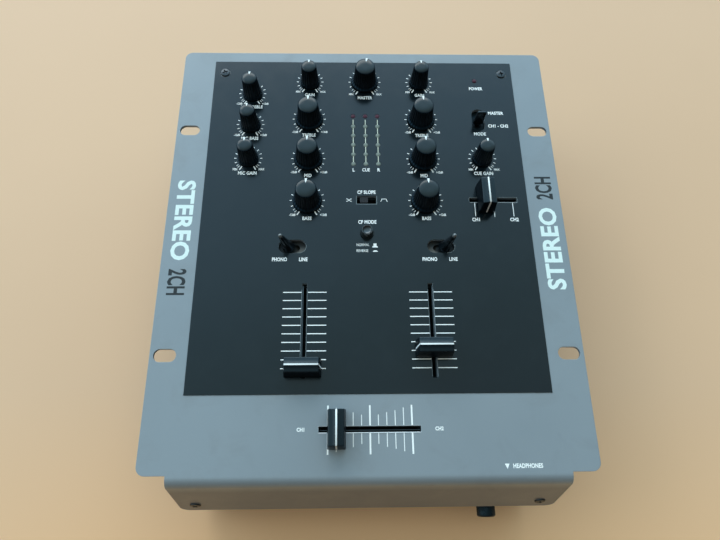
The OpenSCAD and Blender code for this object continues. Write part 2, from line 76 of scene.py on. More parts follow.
class Nodes:
    """Short calls for filling a node tree."""

    def __init__(self, tree):
        self.tree = tree
        tree.nodes.clear()

    def node(self, kind):
        return self.tree.nodes.new(kind)

    def link(self, source, target):
        self.tree.links.new(source, target)

    def put(self, socket, value):
        """Link a socket, or set a number or colour."""
        if isinstance(value, bpy.types.NodeSocket):
            self.link(value, socket)
        else:
            if isinstance(value, tuple) and len(value) == 3:
                value += (1.0,)
            socket.default_value = value

    def math(self, operation, first, second):
        node = self.node("ShaderNodeMath")
        node.operation = operation
        self.put(node.inputs[0], first)
        self.put(node.inputs[1], second)
        return node.outputs[0]

    def times(self, first, second):
        return self.math("MULTIPLY", first, second)

    def mix(self, factor, first, second):
        node = self.node("ShaderNodeMix")
        node.data_type = "RGBA"
        self.put(node.inputs[0], factor)
        self.put(node.inputs[6], first)
        self.put(node.inputs[7], second)
        return node.outputs[2]

    def axes(self, coords):
        node = self.node("ShaderNodeSeparateXYZ")
        self.link(coords, node.inputs[0])
        return node.outputs


class Shader(Nodes):
    """A principled material whose colour and normal are built up in layers."""

    INPUTS = {"rough": "Roughness", "metal": "Metallic", "spec": "Specular IOR Level",
              "coat": "Coat Weight", "coat_rough": "Coat Roughness", "tint": "Specular Tint"}

    def __init__(self, name):
        self.material = bpy.data.materials.new(name)
        self.material.use_nodes = True
        super().__init__(self.material.node_tree)
        output = self.node("ShaderNodeOutputMaterial")
        self.principled = self.node("ShaderNodeBsdfPrincipled")
        self.link(self.principled.outputs[0], output.inputs[0])
        self.coords = self.node("ShaderNodeTexCoord").outputs["Object"]
        self.colour = None
        self.normal = None

    def stretched(self, scale, turn=0.0):
        node = self.node("ShaderNodeMapping")
        self.link(self.coords, node.inputs["Vector"])
        node.inputs["Scale"].default_value = scale
        node.inputs["Rotation"].default_value = (0, 0, turn)
        return node.outputs[0]

    def noise(self, scale, detail=3.0, rough=0.55, coords=None, distortion=0.0):
        node = self.node("ShaderNodeTexNoise")
        self.link(coords or self.coords, node.inputs["Vector"])
        node.inputs["Scale"].default_value = scale
        node.inputs["Detail"].default_value = detail
        node.inputs["Roughness"].default_value = rough
        node.inputs["Distortion"].default_value = distortion
        return node.outputs["Fac"]

    def cells(self, scale):
        node = self.node("ShaderNodeTexVoronoi")
        self.link(self.coords, node.inputs["Vector"])
        node.inputs["Scale"].default_value = scale
        return node.outputs["Distance"]

    def ramp(self, factor, span, to=(0.0, 1.0)):
        """Grey colour ramp between the two positions of span."""
        node = self.node("ShaderNodeValToRGB")
        self.put(node.inputs[0], factor)
        for element, position, grey in zip(node.color_ramp.elements, span, to):
            element.position = position
            element.color = (grey, grey, grey, 1)
        return node.outputs[0]

    def remap(self, value, span, to=(0.0, 1.0)):
        node = self.node("ShaderNodeMapRange")
        self.put(node.inputs[0], value)
        for i, limit in enumerate(span + to):
            node.inputs[i + 1].default_value = limit
        return node.outputs[0]

    def bump(self, height, strength, distance):
        node = self.node("ShaderNodeBump")
        node.inputs["Strength"].default_value = strength
        node.inputs["Distance"].default_value = distance
        self.put(node.inputs["Height"], height)
        if self.normal is not None:
            self.link(self.normal, node.inputs["Normal"])
        self.normal = node.outputs[0]

    def bevel(self, radius, samples):
        node = self.node("ShaderNodeBevel")
        node.samples = samples
        node.inputs["Radius"].default_value = radius
        return node.outputs[0]

    def edge(self, radius, span):
        """1 along sharp edges, where the true and the rounded normal differ."""
        geometry = self.node("ShaderNodeNewGeometry")
        dot = self.node("ShaderNodeVectorMath")
        dot.operation = "DOT_PRODUCT"
        self.link(geometry.outputs["Normal"], dot.inputs[0])
        self.link(self.bevel(radius, samples=4), dot.inputs[1])
        return self.remap(self.math("SUBTRACT", 1.0, dot.outputs["Value"]), span)

    def rounded(self, radius):
        """Soften every edge in the shading; called before any bump."""
        self.normal = self.bevel(radius, samples=6)

    def base(self, pattern, first, second, span=(0.3, 0.7)):
        self.colour = self.mix(self.remap(pattern, span), first, second)

    def paint(self, mask, colour):
        """Lay a colour over what is there."""
        self.colour = self.mix(mask, self.colour, colour)

    def finish(self, **settings):
        self.put(self.principled.inputs["Base Color"], self.colour)
        for key, value in settings.items():
            self.put(self.principled.inputs[self.INPUTS[key]], value)
        if self.normal is not None:
            self.link(self.normal, self.principled.inputs["Normal"])
        return self.material


def shade(colour, gain, lift=0.0):
    return tuple(min(1, c * gain + lift) for c in colour)


# ---------------------------------------------------------------- materials


def plate_paint():
    mat = Shader("plate_enamel")
    mat.rounded(radius=0.0004)
    smudge = mat.noise(scale=46.0, detail=5.0, rough=0.62, distortion=0.6)
    fine = mat.noise(scale=2600.0, detail=2.0, rough=0.6)
    mat.base(mat.noise(scale=14.0, rough=0.5), (0.232, 0.270, 0.297), (0.257, 0.296, 0.324),
             span=(0.35, 0.65))
    mat.paint(mat.remap(fine, span=(0.3, 0.7), to=(0.0, 0.35)), (0.190, 0.222, 0.242))
    # metallic flecks in the enamel
    mat.paint(mat.ramp(mat.cells(scale=3600.0), span=(0.0, 0.16), to=(0.28, 0.0)),
              (0.50, 0.60, 0.64))
    # rubbed, slightly browned handling marks
    mat.paint(mat.ramp(smudge, span=(0.52, 0.78), to=(0.0, 0.35)), (0.185, 0.200, 0.205))
    # two families of fine scratches
    across = mat.noise(scale=60.0, detail=6.0, rough=0.7,
                       coords=mat.stretched((1.0, 26.0, 1.0), turn=0.35))
    along = mat.noise(scale=70.0, detail=6.0, rough=0.7,
                      coords=mat.stretched((24.0, 1.0, 1.0), turn=-0.2))
    lines = mat.math("MAXIMUM", mat.ramp(across, span=(0.68, 0.72)),
                     mat.ramp(along, span=(0.69, 0.73)))
    mat.paint(mat.times(lines, 0.12), (0.36, 0.42, 0.45))
    # patchy wear along the edges
    patches = mat.ramp(mat.noise(scale=380.0, detail=4.0, rough=0.7),
                       span=(0.42, 0.62), to=(0.1, 0.8))
    mat.paint(mat.times(mat.edge(radius=0.0004, span=(0.03, 0.25)), patches),
              (0.46, 0.52, 0.54))
    # painted shade: duller and browner on the front fold, below the bend, standing in for the
    # dim light it gets there
    height = mat.axes(mat.coords)[2]
    mat.paint(mat.remap(height, span=(0.0790, 0.0858), to=(0.90, 0.0)), (0.150, 0.160, 0.178))
    rough = mat.math("ADD", mat.remap(smudge, span=(0.3, 0.75), to=(0.34, 0.46)),
                     mat.times(fine, 0.05))
    mat.bump(mat.noise(scale=950.0, detail=2.0, rough=0.5), strength=0.10, distance=0.00006)
    mat.bump(fine, strength=0.06, distance=0.00003)
    mat.bump(lines, strength=0.10, distance=0.00002)
    return mat.finish(rough=rough, metal=0.10, coat=0.08, coat_rough=0.3)


def overlay_print():
    mat = Shader("overlay_print")
    mat.rounded(radius=0.00035)
    smudge = mat.noise(scale=60.0, detail=6.0, rough=0.65, distortion=0.8)
    grain = mat.noise(scale=3200.0, detail=2.0, rough=0.6)
    mat.base(mat.noise(scale=18.0, rough=0.5), (0.0012, 0.0045, 0.0070),
             (0.0022, 0.0062, 0.0090), span=(0.35, 0.65))
    mat.paint(mat.remap(grain, span=(0.35, 0.75), to=(0.0, 0.35)), (0.005, 0.010, 0.013))
    mat.paint(mat.ramp(smudge, span=(0.5, 0.8), to=(0.0, 0.35)), (0.008, 0.014, 0.017))
    # specks of dust, then paler edges
    mat.paint(mat.ramp(mat.cells(scale=520.0), span=(0.0, 0.04), to=(0.40, 0.0)),
              (0.10, 0.12, 0.13))
    mat.paint(mat.times(mat.edge(radius=0.0003, span=(0.03, 0.3)), 0.4), (0.10, 0.14, 0.155))
    rough = mat.math("ADD", mat.remap(smudge, span=(0.3, 0.8), to=(0.13, 0.21)),
                     mat.times(grain, 0.03))
    mat.bump(grain, strength=0.05, distance=0.00003)
    mat.bump(mat.noise(scale=420.0, detail=2.0, rough=0.5), strength=0.05, distance=0.00008)
    return mat.finish(rough=rough, spec=0.455)


def powder(name, first, second, rough=0.55):
    """Textured powder coat with some dust and pale edges."""
    mat = Shader(name)
    mat.rounded(radius=0.0005)
    mat.base(mat.noise(scale=22.0, rough=0.5), first, second)
    dust = mat.noise(scale=90.0, detail=6.0, rough=0.7)
    mat.paint(mat.ramp(dust, span=(0.56, 0.8), to=(0.0, 0.22)),
              shade(second, gain=3, lift=0.03))
    mat.paint(mat.times(mat.edge(radius=0.0006, span=(0.02, 0.3)), 0.35),
              shade(second, gain=4, lift=0.05))
    mat.bump(mat.noise(scale=1500.0, rough=0.6), strength=0.55, distance=0.00012)
    return mat.finish(rough=mat.remap(dust, span=(0.3, 0.7), to=(rough - 0.06, rough + 0.08)))


def plastic(name, first, second, rough=0.42, wear=0.5, worn=None, grain=2600.0,
            strength=0.25, spec=0.5, coat=0.0, tint=(1.0, 1.0, 1.0)):
    """Moulded plastic with a fine grain; wear is how far the edges turn to worn."""
    mat = Shader(name)
    fine = mat.noise(scale=grain, rough=0.6)
    mat.base(mat.noise(scale=110.0, detail=4.0, rough=0.6), first, second)
    mat.paint(mat.remap(fine, span=(0.4, 0.8), to=(0.0, 0.25)),
              shade(second, gain=1.8, lift=0.0025))
    if wear:
        patches = mat.ramp(mat.noise(scale=700.0, detail=4.0, rough=0.7),
                           span=(0.35, 0.65), to=(0.3, 1.0))
        rubbed = mat.times(mat.edge(radius=0.0003, span=(0.02, 0.25)), patches)
        mat.paint(mat.times(rubbed, wear), worn or shade(second, gain=3, lift=0.04))
    gloss = mat.remap(mat.noise(scale=240.0, detail=5.0, rough=0.65), span=(0.3, 0.7),
                      to=(rough - 0.07, rough + 0.09))
    mat.bump(fine, strength=strength, distance=0.00005)
    return mat.finish(rough=gloss, spec=spec, coat=coat, coat_rough=0.2, tint=tint)


def metal(name, first, second, rough=0.3):
    """Metal with a grain squeezed along z and darker blotches."""
    mat = Shader(name)
    grain = mat.noise(scale=900.0, detail=4.0, rough=0.6, coords=mat.stretched((1, 1, 30)))
    blotch = mat.noise(scale=160.0, detail=4.0, rough=0.6)
    mat.base(blotch, first, second)
    mat.paint(mat.ramp(blotch, span=(0.56, 0.78), to=(0.0, 0.5)), shade(first, gain=0.45))
    mat.bump(grain, strength=0.12, distance=0.00005)
    return mat.finish(rough=mat.remap(grain, span=(0.3, 0.7), to=(rough - 0.08, rough + 0.1)),
                      metal=1.0)


def ink(name, colour, worn, amount):
    """Printing ink, thinned in patches to the worn colour by up to amount."""
    mat = Shader(name)
    fine = mat.noise(scale=1300.0, detail=5.0, rough=0.7)
    smudge = mat.noise(scale=160.0, detail=5.0, rough=0.65)
    mat.colour = colour
    mat.paint(mat.times(mat.ramp(fine, span=(0.5, 0.72)),
                        mat.remap(smudge, span=(0.4, 0.65), to=(0.0, amount))), worn)
    mat.bump(fine, strength=0.2, distance=0.00003)
    return mat.finish(rough=mat.remap(smudge, span=(0.3, 0.7), to=(0.42, 0.6)), spec=0.4)


def lens(name, first, second, rough=0.42, spec=0.35):
    """Frosted lens with a little mottling and a darker edge."""
    mat = Shader(name)
    mottle = mat.noise(scale=600.0, rough=0.5)
    mat.base(mottle, first, second)
    mat.paint(mat.times(mat.edge(radius=0.0002, span=(0.02, 0.3)), 0.3),
              shade(first, gain=0.6))
    mat.bump(mottle, strength=0.12, distance=0.00005)
    return mat.finish(rough=mat.remap(mat.noise(scale=900.0), span=(0.3, 0.7),
                                      to=(rough - 0.08, rough + 0.1)), spec=spec)


def board_mask():
    """Green solder mask with raised tracks running both ways."""
    mat = Shader("solder_mask")
    along = mat.noise(scale=240.0, detail=2.0, rough=0.4, coords=mat.stretched((1, 9, 1)))
    across = mat.noise(scale=240.0, detail=2.0, rough=0.4, coords=mat.stretched((9, 1, 1)))
    tracks = mat.math("MAXIMUM", mat.ramp(along, span=(0.55, 0.57)),
                      mat.ramp(across, span=(0.58, 0.6)))
    mat.colour = (0.012, 0.075, 0.03)
    mat.paint(tracks, (0.03, 0.13, 0.05))
    mat.bump(tracks, strength=0.3, distance=0.00004)
    return mat.finish(rough=mat.remap(mat.noise(scale=400.0), span=(0.3, 0.7),
                                      to=(0.25, 0.4)))


def knob_cap():
    """Moulded satin cap inset, lighter than the knob, with a faint grain."""
    mat = Shader("knob_cap_satin")
    grain = mat.noise(scale=2400.0, rough=0.6)
    mat.base(mat.noise(scale=90.0, detail=4.0, rough=0.6), (0.0086, 0.0163, 0.0195),
             (0.0113, 0.0208, 0.0248))
    mat.paint(mat.remap(grain, span=(0.4, 0.8), to=(0.0, 0.3)), (0.0117, 0.0247, 0.0315))
    # painted highlight: pale band along the cap's rim edges, for the glint of light on the rim
    mat.paint(mat.times(mat.edge(radius=0.0003, span=(0.02, 0.25)), 0.6), (0.12, 0.15, 0.16))
    rough = mat.remap(mat.noise(scale=260.0, detail=5.0, rough=0.65), span=(0.3, 0.7),
                      to=(0.15, 0.23))
    mat.bump(grain, strength=0.18, distance=0.00004)
    return mat.finish(rough=rough, spec=0.37, tint=(1.0, 0.98, 0.96))


def recess_painted_light_film():
    """Film in the lever openings with painted light and shade: dark as painted shade, and a pale
    painted pool of light towards the middle of the mixer, fading towards the rear.
    """
    mat = Shader("recess_painted_light_film")
    grain = mat.noise(scale=1500.0, rough=0.6)
    x, y, _ = mat.axes(mat.coords)
    inner = mat.remap(mat.math("ABSOLUTE", x, 0.0), span=(0.0425, 0.0455), to=(1.0, 0.0))
    rear = mat.remap(y, span=(-0.0105, -0.0070), to=(1.0, 0.12))
    mat.colour = (0.0035, 0.0060, 0.0075)
    # painted light: pale where light falls into the opening, towards the middle of the mixer
    mat.paint(mat.times(inner, rear), (0.135, 0.132, 0.122))
    mat.paint(mat.remap(grain, span=(0.4, 0.8), to=(0.0, 0.3)), (0.010, 0.013, 0.014))
    mat.bump(grain, strength=0.2, distance=0.00005)
    return mat.finish(rough=mat.remap(grain, span=(0.3, 0.7), to=(0.45, 0.6)), spec=0.3)


MATERIALS = {
    "plate": plate_paint(),
    "overlay": overlay_print(),
    "black": powder("tray_powder_coat", (0.012, 0.012, 0.013), (0.018, 0.018, 0.019)),
    "knob": plastic("knob_moulding", (0.0008, 0.0020, 0.0034), (0.0014, 0.0032, 0.0050),
                    rough=0.40, wear=0.25, worn=(0.012, 0.020, 0.026), spec=0.22,
                    tint=(0.35, 0.72, 1.0)),
    "cap": knob_cap(),
    "fader": plastic("fader_cap_moulding", (0.0020, 0.0050, 0.0072), (0.0036, 0.0076, 0.0104),
                     rough=0.30, wear=0.4, worn=(0.035, 0.052, 0.06), spec=0.38,
                     tint=(0.75, 0.92, 1.0)),
    "button": plastic("button_moulding", (0.010, 0.014, 0.016), (0.016, 0.022, 0.024),
                      rough=0.20, wear=0.4, worn=(0.05, 0.07, 0.08), spec=0.8, coat=0.3,
                      tint=(0.95, 0.98, 1.0)),
    # lever tips: lighter grey than the lever, partly a painted highlight for the glint on the
    # tip
    "tip": plastic("lever_tip_painted_highlight", (0.05, 0.06, 0.062), (0.08, 0.09, 0.094),
                   rough=0.16, wear=0.4, worn=(0.3, 0.33, 0.34), spec=0.9, coat=0.8),
    "lever": plastic("lever_moulding", (0.0010, 0.0022, 0.0034), (0.0020, 0.0038, 0.0054),
                     rough=0.22, wear=0.3, worn=(0.02, 0.03, 0.036), spec=0.55,
                     tint=(0.6, 0.85, 1.0)),
    "switch": recess_painted_light_film(),
    "switch_dark": plastic("switch_moulding_dark", (0.0025, 0.0045, 0.0058),
                           (0.0050, 0.0080, 0.0095), rough=0.5, wear=0.2,
                           worn=(0.02, 0.025, 0.028), spec=0.25, tint=(0.5, 0.8, 1.0)),
    "slider": plastic("slider_moulding", (0.012, 0.012, 0.015), (0.020, 0.019, 0.023),
                      rough=0.45, wear=0.4, worn=(0.05, 0.048, 0.055), spec=0.35),
    "deep": plastic("slot_dust_lining", (0.005, 0.010, 0.014), (0.008, 0.015, 0.020),
                    rough=0.75, wear=0.0, grain=1500.0, strength=0.5, spec=0.2),
    "rubber": plastic("foot_rubber", (0.012, 0.012, 0.012), (0.02, 0.02, 0.02),
                      rough=0.75, wear=0.3, grain=1400.0, strength=0.5, spec=0.3),
    "socket": plastic("socket_moulding", (0.003, 0.005, 0.006), (0.008, 0.012, 0.014),
                      rough=0.28, wear=0.3, worn=(0.03, 0.035, 0.038), spec=0.35,
                      tint=(0.5, 0.8, 1.0)),
    "zinc": metal("zinc_screw", (0.30, 0.33, 0.35), (0.42, 0.45, 0.47), rough=0.34),
    "screw_dark": metal("black_oxide_screw", (0.045, 0.050, 0.054), (0.075, 0.080, 0.084)),
    # cue slot rim and lever-opening edges: pale, as a painted highlight along lit edges
    "lip": plastic("slot_lip_painted_highlight", (0.15, 0.18, 0.19), (0.19, 0.22, 0.23), rough=0.25,
                   spec=0.6),
    "guide": metal("fader_guide_edge", (0.085, 0.10, 0.11), (0.13, 0.15, 0.16), rough=0.45),
    # crossfader slot bead: pale and glossy, as a painted highlight along the lit front edge
    "lip_plate": plastic("slot_bead_painted_highlight", (0.30, 0.345, 0.37), (0.34, 0.385, 0.41),
                         rough=0.14, wear=0.4, worn=(0.4, 0.45, 0.47), spec=0.7, coat=0.7),
    "steel": metal("fader_steel", (0.46, 0.47, 0.48), (0.58, 0.58, 0.6), rough=0.32),
    "brass": metal("brass_turned", (0.70, 0.52, 0.24), (0.80, 0.62, 0.32)),
    "nickel": metal("nickel_turned", (0.62, 0.61, 0.58), (0.75, 0.74, 0.71), rough=0.2),
    # a spare finish, on no piece
    "gold": metal("gilt_shell", (0.85, 0.62, 0.25), (0.92, 0.70, 0.34), rough=0.22),
    "ink": ink("print_white", (0.95, 0.97, 0.96), (0.20, 0.23, 0.24), amount=0.10),
    "ink_warm": ink("print_white_warm", (0.74, 0.76, 0.60), (0.25, 0.27, 0.22), amount=0.06),
    # painted highlight grey for the lit edges round the slope window and channel slots
    "painted_highlight_grey": ink("edge_highlight_grey_paint", (0.13, 0.165, 0.18), (0.05, 0.065, 0.07), amount=0.3),
    "ink_ear": ink("print_white_ear", (0.73, 0.86, 0.83), (0.36, 0.42, 0.44), amount=0.15),
    "ink_plate": ink("print_white_plate", (0.95, 0.97, 0.95), (0.40, 0.46, 0.47), amount=0.10),
    "ink_dark": ink("print_dark", (0.008, 0.012, 0.014), (0.14, 0.18, 0.20), amount=0.25),
    "line": ink("fader_line_white", (0.84, 0.88, 0.88), (0.4, 0.44, 0.45), amount=0.12),
    "lamp": lens("lamp_pale", (0.165, 0.200, 0.176), (0.205, 0.240, 0.212)),
    "red": lens("lamp_red", (0.052, 0.013, 0.026), (0.085, 0.020, 0.040), rough=0.5,
                spec=0.25),
    "board": board_mask(),
    # two spare finishes, on no piece
    "red_ring": plastic("socket_red", (0.30, 0.012, 0.012), (0.42, 0.02, 0.02), rough=0.35,
                        wear=0.3),
    "white_ring": plastic("socket_white", (0.55, 0.55, 0.53), (0.66, 0.66, 0.64), rough=0.35,
                          wear=0.2),
}

# look of each CAD piece; the feet, knobs, caps and levers go by their names
CAD_PIECES = {
    "plate": ("top_plate",),
    "overlay": ("control_panel",),
    "black": ("bottom_tray", "rear_panel"),
    "board": ("control_board", "io_board"),
    "brass": ("board_standoffs",),
    "zinc": ("board_screws", "foot_screws"),
    "deep": ("channel_fader_left", "channel_fader_right", "crossfader_body", "cue_fader_body",
             "slope_switch_body"),
    "steel": ("rotary_pots",),
    "switch": ("source_switch_left", "source_switch_right"),
    "switch_dark": ("mode_switch_body", "button_switch_body"),
    "socket": ("rca_block_left", "rca_block_middle", "rca_block_right", "mic_jack",
               "power_inlet", "headphone_jack", "headphone_nut"),
    "nickel": ("ground_post", "headphone_washer"),
    "screw_dark": ("rear_screws", "flange_screws", "plate_screws"),
    "lamp": ("green_leds",),
    "red": ("red_leds", "power_led"),
}
CAD_LOOK = {piece: look for look, pieces in CAD_PIECES.items() for piece in pieces}


def look_of(piece):
    if piece in CAD_LOOK:
        return CAD_LOOK[piece]
    if piece.startswith("foot_"):
        return "rubber"
    if piece.endswith("_knob"):
        return "knob"
    return "fader" if piece.endswith("_cap") else "lever"


for piece, cad_object in frame["nodes"].items():
    cad_object.data.materials.clear()
    cad_object.data.materials.append(MATERIALS[look_of(piece)])
    for polygon in cad_object.data.polygons:
        polygon.material_index = 0

# ---------------------------------------------------------------- mesh tools


class Solid:
    """Collects points and faces, then makes one object of them."""

    def __init__(self):
        self.points, self.faces = [], []

    def add(self, points, faces, place=None):
        start = len(self.points)
        self.points += [tuple(place @ Vector(p)) if place else tuple(p) for p in points]
        self.faces += [tuple(i + start for i in face) for face in faces]
        return self

    def prism(self, outline, bottom, top, place=None):
        """Upright prism over a counter-clockwise outline."""
        n = len(outline)
        points = [(x, y, z) for z in (bottom, top) for x, y in outline]
        faces = [tuple(range(n - 1, -1, -1)), tuple(range(n, 2 * n))]
        faces += [(i, (i + 1) % n, n + (i + 1) % n, n + i) for i in range(n)]
        return self.add(points, faces, place)

    def rect(self, centre_x, centre_y, width, depth, bottom, top, turn=0.0, place=None):
        c, s = cos(radians(turn)), sin(radians(turn))
        corners = [(i * width / 2, j * depth / 2)
                   for i, j in ((-1, -1), (1, -1), (1, 1), (-1, 1))]
        outline = [(centre_x + c * x - s * y, centre_y + s * x + c * y) for x, y in corners]
        return self.prism(outline, bottom, top, place)

    def mark(self, x, y, width, depth, turn=0.0, lift=0.0, surface=PANEL_Z):
        """Thin printed bar; lift keeps crossing bars apart."""
        return self.rect(x, y, width, depth, surface + 0.004, surface + 0.03 + lift, turn)

    def lathe(self, profile, segments, place, shape=None, closed=True):
        """Turn (radius, height) points, bottom first; shape(angle, index, radius) may
        change the radius."""
        points, rings = [], []
        for i, (radius, z) in enumerate(profile):
            start = len(points)
            if radius <= 1e-6:
                points.append((0, 0, z))
            else:
                for k in range(segments):
                    angle = 2 * pi * k / segments
                    r = shape(angle, i, radius) if shape else radius
                    points.append((r * cos(angle), r * sin(angle), z))
            rings.append(range(start, len(points)))
        faces = []
        for low, high in zip(rings, rings[1:]):
            for k in range(segments):
                after = (k + 1) % segments
                if len(low) == 1:
                    faces.append((high[after], high[k], low[0]))
                elif len(high) == 1:
                    faces.append((low[k], low[after], high[0]))
                else:
                    faces.append((low[k], low[after], high[after], high[k]))
        if closed and len(rings[0]) > 1:
            faces.append(tuple(reversed(rings[0])))
        if closed and len(rings[-1]) > 1:
            faces.append(tuple(rings[-1]))
        return self.add(points, faces, place)

    def make(self, name, look, body="chassis", slot=None, sharp=38, bevel=0.0, replaces=()):
        mesh = bpy.data.meshes.new(name)
        mesh.from_pydata([(x * MM, y * MM, z * MM) for x, y, z in self.points], [], self.faces)
        mesh.validate()
        mesh.update()
        ob = bpy.data.objects.new(name, mesh)
        scene.collection.objects.link(ob)
        mesh.materials.append(MATERIALS[look])
        for polygon in mesh.polygons:
            polygon.use_smooth = True
        mesh.set_sharp_from_angle(angle=radians(sharp))
        if bevel:
            rounding = ob.modifiers.new("round", "BEVEL")
            rounding.width = bevel * MM
            rounding.segments = 2
            rounding.limit_method = "ANGLE"
            rounding.angle_limit = radians(30)
            rounding.harden_normals = True
        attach(ob, body)
        if replaces:
            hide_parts(*replaces)
        return ob


def ring_faces(rings, count, first=0):
    """Quads between successive rings of count points."""
    faces = []
    for i in range(rings - 1):
        low = first + i * count
        high = low + count
        for k in range(count):
            after = (k + 1) % count
            faces.append((low + k, high + k, high + after, low + after))
    return faces


def at(x, y, z=0.0, turn=0.0):
    return Matrix.Translation((x, y, z)) @ Matrix.Rotation(radians(turn), 4, "Z")


def on_plate(node, turn=0.0):
    """Place on the plate at the centre of a CAD piece."""
    x, y, _ = centre(node)
    return at(x, y, PLATE_Z, turn)


# ---------------------------------------------------------------- knobs

LEVEL = ("MIN", "MAX")
TONE = ("-12dB", "+12dB")
# name, large, pointer angle, title, range words, distance of the title in front of the centre
KNOBS = [
    ("ch1_gain", False, 0, "GAIN", LEVEL, 11.1),
    ("ch1_treble", True, 0, "TREBLE", TONE, 12.95),
    ("ch1_mid", True, 0, "MID", TONE, 12.95),
    ("ch1_bass", True, 0, "BASS", TONE, 12.95),
    ("ch2_gain", False, 0, "GAIN", LEVEL, 11.1),
    ("ch2_treble", True, 0, "TREBLE", TONE, 12.95),
    ("ch2_mid", True, 0, "MID", TONE, 12.95),
    ("ch2_bass", True, 0, "BASS", TONE, 12.95),
    ("master", True, -10, "MASTER", LEVEL, 13.4),
    ("mic_treble", False, 0, "MIC TREBLE", TONE, 11.1),
    ("mic_bass", False, 4, "MIC BASS", TONE, 11.1),
    ("mic_gain", False, 4, "MIC GAIN", LEVEL, 11.4),
    ("cue_gain", False, -5, "CUE GAIN", LEVEL, 11.4),
]
KNOB_HEIGHT = 16.6
# radii of the skirt, grip foot, grip top and cap, number of flutes
LARGE_KNOB = (9.5, 7.7, 6.7, 6.1, 26)
SMALL_KNOB = (6.75, 5.85, 5.1, 4.58, 20)
CAP_CROWN = 0.66
LAST_FLUTED = 20    # last profile point that the flutes reach


def knob_profile(skirt, foot, top):
    """Flared foot, tapered grip, rounded rim, then down into the seat of the cap."""
    height = KNOB_HEIGHT
    profile = [(skirt - 0.4, 1.02), (skirt - 0.06, 1.12), (skirt, 1.35), (skirt - 0.02, 1.9),
               (skirt - 0.22, 2.35)]
    for i in range(1, 7):
        angle = i / 6 * pi / 2
        profile.append((skirt - 0.22 - (skirt - 0.22 - foot) * sin(angle),
                        2.35 + 2.5 * (1 - cos(angle))))
    for i in range(1, 10):
        profile.append((foot + (top - foot) * i / 9, 4.85 + (height - 0.75 - 4.85) * i / 9))
    return profile + [(top - 0.07, height - 0.4), (top - 0.22, height - 0.12),
                      (top - 0.4, height - 0.02), (top - 0.55, height - 0.06),
                      (top - 0.62, height - 0.5), (0, height - 0.5)]


def knob(name, large, angle):
    node = name + "_knob"
    height = KNOB_HEIGHT
    skirt, foot, top, cap, flutes = LARGE_KNOB if large else SMALL_KNOB

    def fluted(theta, i, radius):
        if not 1 <= i <= LAST_FLUTED:
            return radius
        fade = min(1.0, (LAST_FLUTED + 1 - i) / 2.0) * (0.55 if i < 4 else 1.0)
        return radius - 0.36 * (0.5 + 0.5 * cos(flutes * theta)) ** 1.6 * fade

    def dome(radius):
        return height + 0.02 + CAP_CROWN * (1 - (min(radius, cap) / cap) ** 3.6)

    body = Solid().lathe(knob_profile(skirt, foot, top), flutes * 8,
                         on_plate(node, angle + 180.0 / flutes), fluted)
    body.make(name + "_knob_body", "knob", node, "knob_plastic", sharp=60, replaces=(node,))

    # crowned satin cap let into the top
    rim = cap - 0.14
    profile = [(cap, height - 0.55), (cap, height - 0.12), (cap - 0.05, height),
               (rim, dome(rim) - 0.01)]
    for i in range(1, 17):
        radius = rim * (1 - i / 16)
        profile.append((radius, dome(radius)))
    Solid().lathe(profile, 96, on_plate(node)).make(
        name + "_knob_cap", "cap", node, "knob_plastic", sharp=60)

    # white pointer: a fin across the rim, at the back of the knob, that runs down the grip
    half = 0.74 if large else 0.66
    outer = top + 0.42
    inner = top - (3.0 if large else 2.4)
    middle = (inner + cap) / 2
    side = [    # distance from the axis, height
        (inner, dome(inner) - 0.05), (inner, dome(inner) + 0.07),
        (middle, dome(middle) + 0.08), (cap - 0.2, dome(cap - 0.2) + 0.12),
        (outer - 0.25, height + 0.05), (outer, height - 0.3), (foot + 0.30, 5.4),
        (foot - 0.2, 5.2), (top - 0.6, height - 1.2), (inner + 0.2, height - 0.3)]

    def half_width(y):
        along = min(1.0, max(0.0, (y - inner) / (outer - inner - 0.5)))
        return half * (0.34 + 0.66 * along)

    points = [(hand * half_width(y), y, z) for hand in (-1, 1) for y, z in side]
    n = len(side)
    faces = [tuple(range(n)), tuple(range(2 * n - 1, n - 1, -1))]
    faces += [(i, n + i, n + (i + 1) % n, (i + 1) % n) for i in range(n)]
    Solid().add(points, faces, on_plate(node, angle)).make(
        name + "_knob_pointer", "line", node, "knob_plastic", bevel=0.1)


for name, large, angle, *_ in KNOBS:
    knob(name, large, angle)

# ---------------------------------------------------------------- fader caps

# stations along a cap: fraction of the half length, inset of the section
CAP_STATIONS = [(-1.0, 0.34), (-0.991, 0.12), (-0.975, 0.02), (-0.94, 0.0), (-0.5, 0.0),
                (0.0, 0.0), (0.5, 0.0), (0.94, 0.0), (0.975, 0.02), (0.991, 0.12), (1.0, 0.34)]
LINE_HALF_WIDTH = 0.47
LINE_DEPTH = 0.3


